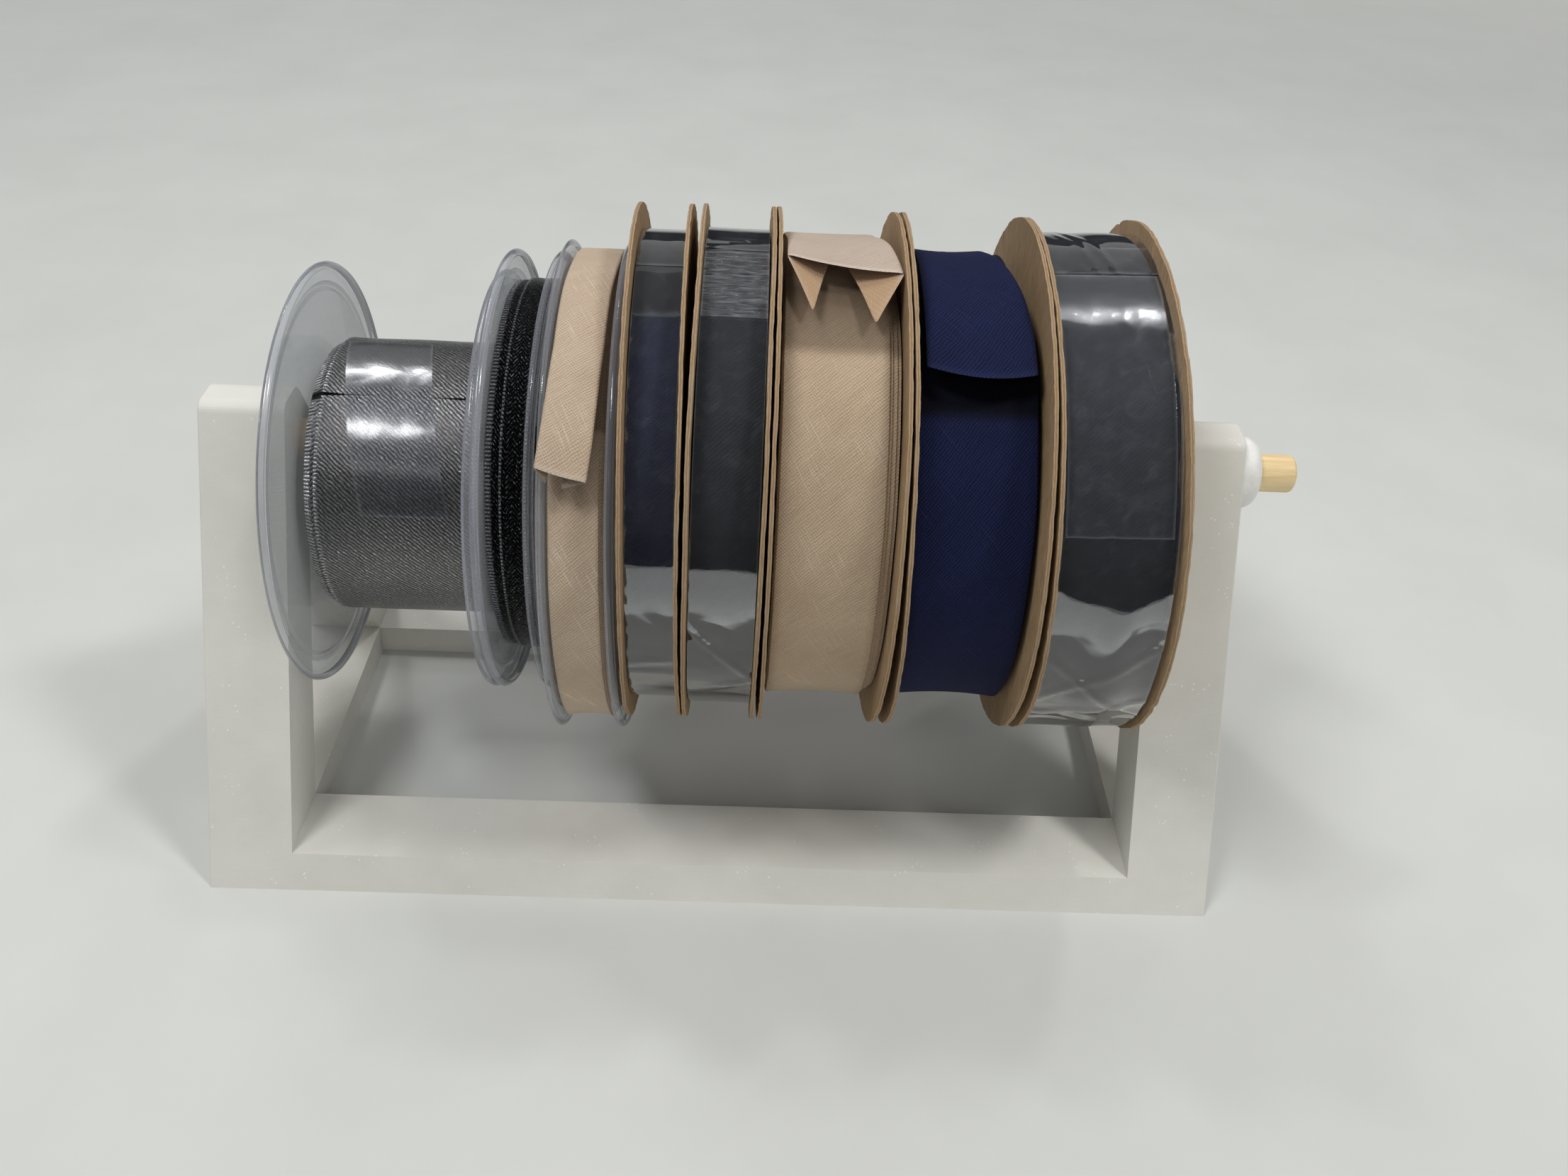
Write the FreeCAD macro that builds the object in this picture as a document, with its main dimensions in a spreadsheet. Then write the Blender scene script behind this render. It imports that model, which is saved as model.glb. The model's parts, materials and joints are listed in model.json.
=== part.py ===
import FreeCAD, Part
import math
import os
import Sketcher

# Ribbon spool dispenser: a printed stand, a wooden rod through its two ends, and eight spools that turn
# on the rod. X runs along the rod, Y from front to back, Z up. The origin is at the middle of the whole
# assembly's footprint, on the counter. Lengths are in mm.

DOC = FreeCAD.newDocument("ribbon_spool_dispenser")
SHEET = DOC.addObject("Spreadsheet::Sheet", "sizes")

# ---------------------------------------------------------------- sizes
SIZES = [
    # stand
    ("stand_depth", 120.5),      # front to back, on the counter
    ("crown_wide", 10.5),        # flat top of each end, front to back
    ("crown_over", 12.0),        # top of each end above the rod's line
    ("end_thick", 20.9),         # thickness of each upright end
    ("rail_height", 8.7),
    ("rail_depth", 25.2),        # front edge on the counter to the rail's inner face
    ("window_under", 14.73),     # window's top below the rod's line
    ("crown_round", 4.0),
    ("window_round", 3.0),
    ("edge_round", 0.5),
    # rod and its bush
    ("rod_rad", 4.75),
    ("reel_lift", 34.5),         # rod's line above the counter, less a card reel's radius
    ("row_end_room", 7.0),       # last spool to the right end's inner face
    ("fit_gap", 0.05),           # radial clearance of a sliding or turning fit
    ("socket_deep", 15.0),
    ("rod_end_gap", 0.5),        # rod's left end to the socket's floor
    ("rod_out", 9.7),            # rod beyond the bush
    ("rod_round", 1.2),
    ("sleeve_rad", 7.0),
    ("sleeve_long", 16.0),
    ("head_rad", 9.05),
    ("head_thick", 5.7),
    ("head_round", 3.4),
    # plastic spools
    ("disc_thick", 1.1),
    ("disc_inset", 0.5),         # disc set in from the rim bead's face
    ("bead_wide", 2.1),
    ("bead_deep", 1.4),
    ("bead_round", 0.6),
    ("ring_inset", 5.9),         # raised ring's middle, in from the rim
    ("ring_wide", 1.8),
    ("hub_wall", 2.2),
    ("spigot_long", 4.0),
    # card reels
    ("card_thick", 1.0),
    ("card_rad", 63.5),
    ("card_bore", 8.25),
    ("core_in", 18.0),
    ("core_out", 20.0),
    # windings
    ("wind_gap", 0.1),           # winding to its hub, and between its outer turns
    ("film_gap", 0.3),           # film to the winding under it
    ("film_thick", 0.25),
    ("film_side", 0.2),          # film's edge to the flange
    ("tape_thick", 0.15),
    ("over_cut", 5.0),           # cuts run this far past the stand's faces
    ("turn_thick", 0.5),         # outermost turn of ribbon
    ("fold_thick", 0.7),         # folded binding
    ("tail_thick", 1.2),         # folded binding that has sprung open
    ("end_side", 1.1),           # lifted end of the navy binding, narrower than its winding by this each side
    ("tail_side", 0.5),          # the same for the tail on spool C
    ("a_turn_slip", 2.0),        # outermost turn lies this far to the right of the rest
    ("a_tape_wide", 20.0),
    ("a_tape_long", 46.0),
    ("b_ribbon_wide", 6.0),
    ("h_film_sag", 2.3),         # loose film hangs this much lower than its reel
    ("hang_gap", 0.1),           # bore to rod at the nearest point
]

# Each spool: gap to the one on its left, width over the flanges, flange radius, bore radius, how far the
# winding's edges lie below the rim and its middle below its edges, the winding's room at each side, and
# how far the axis strays from the rod's line to the back and upwards for each mm along it.
SPOOLS = {
    "a": dict(gap=5.9, wide=46.0, rad=52.4, bore=15.1, under=19.0, sink=0.0, side=2.4, back=0.008,
              rise=-0.006),
    "b": dict(gap=0.8, wide=12.9, rad=54.6, bore=12.0, under=9.2, sink=0.0, side=0.25, back=0.0, rise=-0.003),
    "c": dict(gap=1.3, wide=16.5, rad=60.9, bore=15.8, under=2.6, sink=0.9, side=0.35, back=0.016, rise=0.0),
    "d": dict(gap=0.6, wide=13.2, under=6.9, sink=0.0, side=0.4, back=0.02, rise=-0.005),
    "e": dict(gap=1.4, wide=17.25, under=6.2, sink=0.0, side=0.425, back=0.008, rise=-0.015),
    "f": dict(gap=0.65, wide=28.8, under=6.7, sink=0.8, side=0.4, back=0.008, rise=-0.012),
    "g": dict(gap=1.8, wide=29.8, under=8.3, sink=0.8, side=0.5, back=0.0, rise=0.008),
    "h": dict(gap=1.6, wide=27.7, under=5.2, sink=0.0, side=0.45, back=-0.003, rise=0.028),
}
PLASTIC = "abc"
CARD = "defgh"


class Dim:
    """A length that knows its value now and the sheet formula it follows."""

    def __init__(self, value, text):
        self.value = value
        self.text = text

    @staticmethod
    def of(item):
        return item if isinstance(item, Dim) else Dim(float(item), "%g" % item)

    def join(self, other, sign, value):
        return Dim(value, "(%s %s %s)" % (self.text, sign, other.text))

    def __add__(self, other):
        other = Dim.of(other)
        return self.join(other, "+", self.value + other.value)

    def __sub__(self, other):
        other = Dim.of(other)
        return self.join(other, "-", self.value - other.value)

    def __mul__(self, other):
        other = Dim.of(other)
        return self.join(other, "*", self.value * other.value)

    def __truediv__(self, other):
        other = Dim.of(other)
        return self.join(other, "/", self.value / other.value)

    def __radd__(self, other):
        return Dim.of(other) + self

    def __rsub__(self, other):
        return Dim.of(other) - self

    def __neg__(self):
        return Dim(-self.value, "(-%s)" % self.text)


S = {}


def put_size(alias, value):
    """Write one named size in the sheet."""
    row = len(S) + 1
    SHEET.set("A%d" % row, alias)
    SHEET.set("B%d" % row, repr(float(value)))
    SHEET.setAlias("B%d" % row, alias)
    S[alias] = Dim(float(value), "sizes." + alias)


for alias, value in SIZES:
    put_size(alias, value)
for key, row in SPOOLS.items():
    for part in ("gap", "wide", "rad", "bore", "under", "sink", "side"):
        if part in row:
            put_size("%s_%s" % (key, part), row[part])
DOC.recompute()


# ---------------------------------------------------------------- sketching and bodies
def plane_of(body, role):
    return [item for item in body.Origin.OriginFeatures if item.Role == role][0]


def new_body(label):
    body = DOC.addObject("PartDesign::Body", label)
    body.Label = label
    return body


def sketch_on(body, role, name):
    sketch = body.newObject("Sketcher::SketchObject", body.Label + "_" + name)
    sketch.AttachmentSupport = (plane_of(body, role), [""])
    sketch.MapMode = "FlatFace"
    return sketch


def pin(sketch, axis, geo, pos, dim, name):
    """Hold one coordinate of a sketch point at a named size."""
    if abs(dim.value) < 1e-9:
        line = -2 if axis == "DistanceX" else -1
        sketch.addConstraint(Sketcher.Constraint("PointOnObject", geo, pos, line))
        return
    if dim.value < 0:
        dim = -dim
        made = Sketcher.Constraint(axis, geo, pos, -1, 1, dim.value)
    else:
        made = Sketcher.Constraint(axis, -1, 1, geo, pos, dim.value)
    index = sketch.addConstraint(made)
    sketch.renameConstraint(index, name)
    sketch.setExpression("Constraints." + name, dim.text)


def outline(sketch, corners):
    """Closed outline of straight lines through corners given as pairs of sizes."""
    corners = [(Dim.of(u), Dim.of(v)) for u, v in corners]
    count = len(corners)
    first = len(sketch.Geometry)
    for i in range(count):
        a, b = corners[i], corners[(i + 1) % count]
        start = FreeCAD.Vector(a[0].value, a[1].value, 0)
        end = FreeCAD.Vector(b[0].value, b[1].value, 0)
        sketch.addGeometry(Part.LineSegment(start, end), False)
    for i in range(count):
        here, after = first + i, first + (i + 1) % count
        sketch.addConstraint(Sketcher.Constraint("Coincident", here, 2, after, 1))
    for i, (u, v) in enumerate(corners):
        pin(sketch, "DistanceX", first + i, 1, u, "u%d" % (first + i))
        pin(sketch, "DistanceY", first + i, 1, v, "v%d" % (first + i))


def circle(sketch, across, up, radius):
    """Circle held at a point and a radius by sizes."""
    up = Dim.of(up)
    middle = FreeCAD.Vector(across, up.value, 0)
    geo = sketch.addGeometry(Part.Circle(middle, FreeCAD.Vector(0, 0, 1), radius.value), False)
    pin(sketch, "DistanceX", geo, 3, Dim.of(across), "cu%d" % geo)
    pin(sketch, "DistanceY", geo, 3, up, "cv%d" % geo)
    index = sketch.addConstraint(Sketcher.Constraint("Radius", geo, radius.value))
    sketch.renameConstraint(index, "rad%d" % geo)
    sketch.setExpression("Constraints.rad%d" % geo, radius.text)


def cut(body, sketch, length, both_ways=False, reverse=False):
    """Pocket of a set length; it must take material away."""
    before = body.Shape.Volume
    pocket = body.newObject("PartDesign::Pocket", sketch.Label + "_cut")
    pocket.Profile = sketch
    pocket.Type = "Length"
    pocket.setExpression("Length", length.text)
    pocket.SideType = "Symmetric" if both_ways else "One side"
    pocket.Reversed = reverse
    sketch.Visibility = False
    DOC.recompute()
    if body.Shape.Volume >= before - 1e-6:
        raise ValueError(sketch.Label + " removes nothing")
    return pocket


def round_edges(body, keep, radius, name):
    """Fillet the edges of the body's present shape that keep() picks."""
    tip = body.Tip
    picked = ["Edge%d" % (i + 1) for i, edge in enumerate(tip.Shape.Edges) if keep(edge)]
    if not picked:
        raise ValueError(name + " finds no edge")
    fillet = body.newObject("PartDesign::Fillet", body.Label + "_" + name)
    fillet.Base = (tip, picked)
    fillet.setExpression("Radius", radius.text)
    DOC.recompute()
    return fillet


def lathe(label, profile, place, turn=360.0):
    """Body turned about its own Z axis from an outline of (radius, height) sizes."""
    body = new_body(label)
    sketch = sketch_on(body, "XZ_Plane", "profile")
    outline(sketch, profile)
    made = body.newObject("PartDesign::Revolution", label + "_turned")
    made.Profile = sketch
    made.ReferenceAxis = (sketch, ["V_Axis"])
    made.Angle = turn
    sketch.Visibility = False
    body.Placement = place
    DOC.recompute()
    return body


def is_circle(edge, radius, tolerance=0.01):
    curve = edge.Curve
    return curve.TypeId == "Part::GeomCircle" and abs(curve.Radius - radius) < tolerance


# ---------------------------------------------------------------- stand
row_long = S["row_end_room"]
for key in SPOOLS:
    row_long = row_long + S[key + "_gap"] + S[key + "_wide"]
axle_height = S["card_rad"] + S["reel_lift"]
stand_height = axle_height + S["crown_over"]
inner_x = row_long / 2
half_w = inner_x + S["end_thick"]
half_d = S["stand_depth"] / 2
rail_y = half_d - S["rail_depth"]
crown_y = S["crown_wide"] / 2
window_top = axle_height - S["window_under"]
stand_x = -(S["head_thick"] + S["rod_out"]) / 2
STAND_AT = FreeCAD.Placement(FreeCAD.Vector(stand_x.value, 0, 0), FreeCAD.Rotation())

stand = new_body("stand_frame")
side = sketch_on(stand, "YZ_Plane", "side")
outline(side, [(-half_d, 0), (half_d, 0), (crown_y, stand_height), (-crown_y, stand_height)])
block = stand.newObject("PartDesign::Pad", "stand_frame_block")
block.Profile = side
block.SideType = "Symmetric"
block.setExpression("Length", (half_w * 2).text)
side.Visibility = False
DOC.recompute()

bay = sketch_on(stand, "XZ_Plane", "bay")
over = stand_height + S["over_cut"]
outline(bay, [(-inner_x, S["rail_height"]), (inner_x, S["rail_height"]), (inner_x, over), (-inner_x, over)])
cut(stand, bay, (half_d + S["over_cut"]) * 2, both_ways=True)

floor = sketch_on(stand, "XY_Plane", "floor")
outline(floor, [(-inner_x, -rail_y), (inner_x, -rail_y), (inner_x, rail_y), (-inner_x, rail_y)])
cut(stand, floor, stand_height, both_ways=True)

window = sketch_on(stand, "YZ_Plane", "window")
outline(window, [(-rail_y, S["rail_height"]), (rail_y, S["rail_height"]), (0, window_top)])
cut(stand, window, (half_w + S["over_cut"]) * 2, both_ways=True)

hole = sketch_on(stand, "YZ_Plane", "bush_hole")
circle(hole, 0, axle_height, S["sleeve_rad"] + S["fit_gap"])
cut(stand, hole, half_w + S["over_cut"], reverse=True)

socket = sketch_on(stand, "YZ_Plane", "socket")
circle(socket, 0, axle_height, S["rod_rad"] + S["fit_gap"])
cut(stand, socket, inner_x + S["socket_deep"])


def at_crown(edge):
    box = edge.BoundBox
    return box.YLength < 0.01 and box.ZLength < 0.01 and abs(box.ZMin - stand_height.value) < 0.01


def at_window_top(edge):
    box = edge.BoundBox
    return box.YLength < 0.01 and box.ZLength < 0.01 and abs(box.ZMin - window_top.value) < 0.01


def on_outer_side(edge):
    box = edge.BoundBox
    outer = box.XLength < 0.01 and abs(abs(box.XMin) - half_w.value) < 0.01
    foot = abs(max(abs(box.YMin), abs(box.YMax)) - half_d.value) < 0.01
    return outer and foot and box.ZLength > 1


round_edges(stand, at_crown, S["crown_round"], "crown")
round_edges(stand, at_window_top, S["window_round"], "window_top")
round_edges(stand, on_outer_side, S["edge_round"], "slopes")
stand.Placement = STAND_AT

# ---------------------------------------------------------------- bush and rod
ALONG = FreeCAD.Rotation(FreeCAD.Vector(0, 0, 1), FreeCAD.Vector(1, 0, 0))
face_x = stand_x + half_w
BUSH_AT = FreeCAD.Placement(FreeCAD.Vector(face_x.value, 0, axle_height.value), ALONG)
bore = S["rod_rad"] + S["fit_gap"]
bush = lathe("end_bush", [
    (bore, -S["sleeve_long"]), (S["sleeve_rad"], -S["sleeve_long"]), (S["sleeve_rad"], 0),
    (S["head_rad"], 0), (S["head_rad"], S["head_thick"]), (bore, S["head_thick"])], BUSH_AT)


def at_dome(edge):
    return is_circle(edge, S["head_rad"].value) and edge.BoundBox.ZMin > 1


round_edges(bush, at_dome, S["head_round"], "dome")

rod_left = -(inner_x + S["socket_deep"] - S["rod_end_gap"]) + stand_x - face_x
rod_right = S["head_thick"] + S["rod_out"]
rod = lathe("axle_rod", [
    (0, rod_left), (S["rod_rad"], rod_left), (S["rod_rad"], rod_right), (0, rod_right)], BUSH_AT)


def at_rod_end(edge):
    return is_circle(edge, S["rod_rad"].value)


round_edges(rod, at_rod_end, S["rod_round"], "ends")


# ---------------------------------------------------------------- spools
def spool_mid(key):
    """Middle of a spool along the rod, counted up from the left end's inner face."""
    at = -inner_x.value
    for other in SPOOLS:
        at += S[other + "_gap"].value + S[other + "_wide"].value
        if other == key:
            return at - S[key + "_wide"].value / 2


def spool_place(key, bore_rad):
    """Placement of a spool whose bore hangs on the rod: its own Z axis runs along the rod."""
    row = SPOOLS[key]
    reach = abs(row["rise"]) * S[key + "_wide"].value / 2
    drop = bore_rad.value - S["rod_rad"].value - S["hang_gap"].value - reach
    axis = FreeCAD.Vector(1, row["back"], row["rise"])
    spot = FreeCAD.Vector(stand_x.value + spool_mid(key), 0, axle_height.value - drop)
    return FreeCAD.Placement(spot, FreeCAD.Rotation(FreeCAD.Vector(0, 0, 1), axis))


def turned(place, degrees):
    """The same placement turned about the spool's axis: 0 starts at the front, 90 at the top."""
    spin = FreeCAD.Rotation(FreeCAD.Vector(0, 0, 1), -90.0 - degrees)
    return place.multiply(FreeCAD.Placement(FreeCAD.Vector(), spin))


def wound_edge(key):
    """Radius of a winding at its edges."""
    rim = S[key + "_rad"] if key in PLASTIC else S["card_rad"]
    return rim - S[key + "_under"]


def inner_face(key):
    """Half the clear width between a spool's flanges."""
    wall = S["disc_inset"] + S["disc_thick"] if key in PLASTIC else S["card_thick"]
    return S[key + "_wide"] / 2 - wall


def wound_half(key):
    return inner_face(key) - S[key + "_side"]


def winding(key, label, inner, place):
    """Wound ribbon or tape as one ring, a little waisted where it sinks in the middle."""
    half = wound_half(key)
    edge = wound_edge(key)
    profile = [(inner, -half), (edge, -half)]
    if S[key + "_sink"].value > 0:
        waist = edge - S[key + "_sink"]
        profile += [(waist, -half / 2), (waist, half / 2)]
    profile += [(edge, half), (inner, half)]
    return lathe(label, profile, place)


def plastic_spool(key):
    """Two clear moulded halves: the left carries the hub tube, the right plugs into its end."""
    rad, bore_rad = S[key + "_rad"], S[key + "_bore"]
    place = spool_place(key, bore_rad)
    end = S[key + "_wide"] / 2
    out = end - S["disc_inset"]
    seat = inner_face(key)
    deep = rad - S["bead_deep"]
    ring = rad - S["ring_inset"]
    ring_in, ring_out = ring - S["ring_wide"] / 2, ring + S["ring_wide"] / 2
    hub = bore_rad + S["hub_wall"]
    step = bore_rad + S["hub_wall"] / 2
    bead = end - S["bead_wide"]
    face = [(ring_in, out), (ring_in, end), (ring_out, end), (ring_out, out), (deep, out), (deep, end),
            (rad, end), (rad, bead), (deep, bead), (deep, seat)]
    left = [(bore_rad, -out)] + [(r, -z) for r, z in face]
    left += [(hub, -seat), (hub, seat), (step, seat), (step, seat - S["spigot_long"]),
             (bore_rad, seat - S["spigot_long"])]
    plug = step - S["fit_gap"]
    plug_end = seat - S["spigot_long"] + 0.1
    right = [(bore_rad, out)] + face + [(plug, seat), (plug, plug_end), (bore_rad, plug_end)]
    for label, profile in ((key + "_flange_left", left), (key + "_flange_right", right)):
        body = lathe(label, profile, place)
        round_edges(body, lambda edge: is_circle(edge, rad.value), S["bead_round"], "bead")
    winding(key, key + "_ribbon", hub + S["wind_gap"], place)
    return place


def card_reel(key):
    """Two card discs glued on a core tube, with the winding between them."""
    place = spool_place(key, S["card_bore"])
    end = S[key + "_wide"] / 2
    seat = inner_face(key)
    for label, low, high in ((key + "_flange_left", -end, -seat), (key + "_flange_right", seat, end)):
        lathe(label, [(S["card_bore"], low), (S["card_rad"], low), (S["card_rad"], high),
                      (S["card_bore"], high)], place)
    lathe(key + "_core", [(S["core_in"], -seat), (S["core_out"], -seat), (S["core_out"], seat),
                          (S["core_in"], seat)], place)
    winding(key, key + "_ribbon", S["core_out"] + S["wind_gap"], place)
    return place


def band(label, low, high, left, right, place, first=0.0, turn=360.0):
    """Ring or part ring between two radii, from left to right along the spool."""
    profile = [(low, left), (high, left), (high, right), (low, right)]
    return lathe(label, profile, turned(place, first + turn), turn)


def strip(label, stations, base, thick, left, right, place, skew=0.0):
    """Loose end of binding through stations of (degrees above the front, rise over the winding's edge)."""
    def curve(lift):
        spots = []
        for degrees, proud in stations:
            angle = math.radians(-90.0 - degrees)
            reach = base.value + proud + lift
            spots.append(FreeCAD.Vector(reach * math.cos(angle), reach * math.sin(angle), left.value))
        made = Part.BSplineCurve()
        made.interpolate(spots)
        return made.toShape(), spots
    under, under_spots = curve(0.0)
    above, above_spots = curve(thick.value)
    ends = [Part.makeLine(under_spots[i], above_spots[i]) for i in (0, -1)]
    wire = Part.Wire(Part.__sortEdges__([under, ends[1], above, ends[0]]))
    solid = Part.Face(wire).extrude(FreeCAD.Vector(0, 0, (right - left).value))
    if skew:
        middle = math.radians(-90.0 - stations[0][0])
        about = FreeCAD.Vector(math.cos(middle), math.sin(middle), 0)
        solid.rotate(FreeCAD.Vector(0, 0, 0), about, skew)
    item = DOC.addObject("Part::Feature", label)
    item.Label = label
    item.Shape = solid
    item.Placement = place
    return item


def film_wrap(key, place, sag=0.0):
    """Clear film over a winding; returns the radius just outside it, its half width and where it hangs."""
    half = inner_face(key) - S["film_side"]
    low = wound_edge(key) + S["film_gap"] + sag
    high = low + S["film_thick"]
    hung = place.multiply(FreeCAD.Placement(FreeCAD.Vector(Dim.of(sag).value, 0, 0), FreeCAD.Rotation()))
    band(key + "_film", low, high, -half, half, hung)
    return high + S["wind_gap"], half, hung


# Spool A: wide ribbon on a plastic spool, its outermost turn cut and held by a patch of clear tape.
at_a = plastic_spool("a")
half_a = wound_half("a")
turn_a = wound_edge("a") + S["turn_thick"]
slip_a = S["a_turn_slip"]
band("a_outer_turn", wound_edge("a") + S["wind_gap"], turn_a, slip_a - half_a, half_a + slip_a, at_a,
     first=66.0, turn=358.0)


def tape_cylinder(name, radius, long):
    """Cylinder about the spool's axis, centred on the spool."""
    item = DOC.addObject("Part::Cylinder", name)
    item.setExpression("Radius", radius.text)
    item.setExpression("Height", long.text)
    item.Placement = FreeCAD.Placement(FreeCAD.Vector(0, 0, -long.value / 2), FreeCAD.Rotation())
    return item


tape_shell = DOC.addObject("Part::Cut", "a_tape_shell")
tape_in = turn_a + S["wind_gap"]
tape_shell.Base = tape_cylinder("a_tape_outer", tape_in + S["tape_thick"], S["a_wide"])
tape_shell.Tool = tape_cylinder("a_tape_inner", tape_in, S["a_wide"] * 1.2)
tape_block = DOC.addObject("Part::Box", "a_tape_block")
tape_block.setExpression("Length", (turn_a * 1.2).text)
tape_block.setExpression("Width", S["a_tape_long"].text)
tape_block.setExpression("Height", S["a_tape_wide"].text)
mid_turn = FreeCAD.Rotation(FreeCAD.Vector(0, 0, 1), -90.0 - 58.0)
slant = FreeCAD.Rotation(FreeCAD.Vector(1, 0, 0), 10.0)
corner = FreeCAD.Vector(0, -S["a_tape_long"].value / 2, -S["a_tape_wide"].value / 2)
tape_block.Placement = FreeCAD.Placement(FreeCAD.Vector(0, 0, -1.0), mid_turn.multiply(slant)).multiply(
    FreeCAD.Placement(corner, FreeCAD.Rotation()))
tape = DOC.addObject("Part::Common", "a_tape")
tape.Label = "a_tape"
tape.Base = tape_shell
tape.Tool = tape_block
tape.Placement = at_a

# Spool B: narrow ribbon wound in two overlapping bands.
at_b = plastic_spool("b")
half_b = wound_half("b")
band("b_outer_turn", wound_edge("b") + S["wind_gap"], wound_edge("b") + S["turn_thick"],
     half_b - S["b_ribbon_wide"], half_b, at_b)

# Spool C: folded bias binding that fills its spool; its end hangs loose over the left rim.
at_c = plastic_spool("c")
half_c = wound_half("c")
strip("c_tail", [(106, 0.2), (92, 0.3), (80, 1.0), (70, 2.4), (60, 3.8), (48, 4.7), (36, 5.1)],
      wound_edge("c"), S["tail_thick"], S["tail_side"] - half_c, half_c - S["tail_side"], at_c, skew=-2.6)

# Spools D to H: card reels. D, E and H are still wrapped in clear film; E and H are taped too.
at_d = card_reel("d")
film_wrap("d", at_d)

at_e = card_reel("e")
over_e, half_e, hung_e = film_wrap("e", at_e)
band("e_tape", over_e, over_e + S["tape_thick"], -half_e, half_e, hung_e, first=65.0, turn=32.0)

at_f = card_reel("f")
half_f = wound_half("f")
strip("f_end", [(128, 0.1), (115, 0.1), (102, 0.1), (90, 0.1), (78, 0.15), (67, 0.4)],
      wound_edge("f"), S["fold_thick"], -half_f, half_f, at_f)

at_g = card_reel("g")
half_g = wound_half("g")
strip("g_end", [(140, 0.1), (125, 0.1), (110, 0.1), (96, 0.3), (82, 1.0), (68, 2.0), (54, 3.2)],
      wound_edge("g"), S["fold_thick"], S["end_side"] - half_g, half_g - S["end_side"], at_g)

at_h = card_reel("h")
over_h, half_h, hung_h = film_wrap("h", at_h, S["h_film_sag"])
band("h_tape", over_h, over_h + S["tape_thick"], -half_h, half_h, hung_h, first=21.0, turn=44.0)

# ---------------------------------------------------------------- check and write
NODES = ["stand_frame", "end_bush", "axle_rod"]
for key in PLASTIC + CARD:
    NODES += [key + "_flange_left", key + "_flange_right", key + "_ribbon"]
    if key in CARD:
        NODES.append(key + "_core")
NODES += ["a_outer_turn", "a_tape", "b_outer_turn", "c_tail", "d_film", "e_film", "e_tape", "f_end", "g_end",
          "h_film", "h_tape"]

DOC.recompute()
for item in DOC.Objects:
    bad = [word for word in item.State if word in ("Invalid", "Error")]
    if bad:
        raise ValueError("%s is %s" % (item.Label, bad))
os.makedirs("parts", exist_ok=True)
for name in NODES:
    found = [item for item in DOC.getObjectsByLabel(name) if hasattr(item, "Shape")][0]
    shape = found.Shape
    if shape.isNull() or not shape.isValid() or not shape.Solids:
        raise ValueError(name + " has no valid solid")
    shape.exportStep("parts/%s.step" % name)
    box = shape.BoundBox
    print("%-16s %2d solid  %9.0f mm3  x %.1f..%.1f  y %.1f..%.1f  z %.1f..%.1f" % (
        name, len(shape.Solids), shape.Volume, box.XMin, box.XMax, box.YMin, box.YMax, box.ZMin, box.ZMax))
print(len(NODES), "parts")
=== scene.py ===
# %% [markdown]
# # A ribbon spool dispenser, dressed
# A printed white stand carries a wooden dowel, and eight spools of ribbon and binding hang on the dowel.
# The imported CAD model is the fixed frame: it gives every place and every turning axis. This lesson adds
# what solids can't say: wound cloth, clear plastic, card, thin film and tape. Each cell makes one thing.

import json
import math

import bpy
from mathutils import Matrix, Vector, noise


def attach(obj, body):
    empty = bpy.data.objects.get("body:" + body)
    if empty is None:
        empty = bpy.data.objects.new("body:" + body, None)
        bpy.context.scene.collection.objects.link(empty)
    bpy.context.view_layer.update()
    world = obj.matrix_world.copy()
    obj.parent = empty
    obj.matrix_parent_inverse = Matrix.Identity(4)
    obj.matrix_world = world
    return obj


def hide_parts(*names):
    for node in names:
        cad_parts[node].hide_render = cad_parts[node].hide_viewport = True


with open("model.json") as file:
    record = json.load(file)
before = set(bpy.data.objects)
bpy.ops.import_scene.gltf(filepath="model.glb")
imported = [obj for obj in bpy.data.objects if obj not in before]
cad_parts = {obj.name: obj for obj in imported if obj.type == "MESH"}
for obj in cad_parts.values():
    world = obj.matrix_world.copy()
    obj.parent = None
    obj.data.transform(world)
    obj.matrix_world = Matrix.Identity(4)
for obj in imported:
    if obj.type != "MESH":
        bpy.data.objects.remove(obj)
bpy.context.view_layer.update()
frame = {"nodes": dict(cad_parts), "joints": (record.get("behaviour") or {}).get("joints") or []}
MM = 0.001

# %% [markdown]
# ## A place to stand for every spool
# A spool is a turned thing, so it is easiest to draw it round its own axis: x up, y to the front and
# z along the dowel, all in millimetres. The joint of each spool gives its middle and its axis, which
# leans a little because a loose spool hangs askew. One matrix per spool then puts a finished mesh in place.

# %% Read the spools' middles and axes from the joints
spool_at = {}
for joint in frame["joints"]:
    if joint["name"].startswith("spool_"):
        along = Vector(joint["axis"]).normalized()
        up = (Vector((0, 0, 1)) - along * along.z).normalized()
        turn = Matrix((up, along.cross(up), along)).transposed().to_4x4()
        turn.translation = Vector(joint["pos_m"])
        spool_at[joint["name"][6]] = turn
print("spools", {letter: [round(c, 4) for c in m.translation] for letter, m in spool_at.items()})

# %% [markdown]
# ## Few tools, used often
# Blender's operators act on whatever is selected, so each piece starts from an empty selection.
# A turned piece could be a stack of cylinders, but a lathe is nearer to how such things are moulded or
# wound: one point is extruded along the outline, and the outline is spun round the axis.

# %% Selecting, and the lathe
WELD = 1e-6


def nothing_selected():
    """Back to object mode with nothing chosen."""
    if bpy.context.object and bpy.context.object.mode != "OBJECT":
        bpy.ops.object.mode_set(mode="OBJECT")
    bpy.ops.object.select_all(action="DESELECT")


def only(piece):
    """Choose one piece."""
    nothing_selected()
    piece.select_set(True)
    bpy.context.view_layer.objects.active = piece


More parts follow.
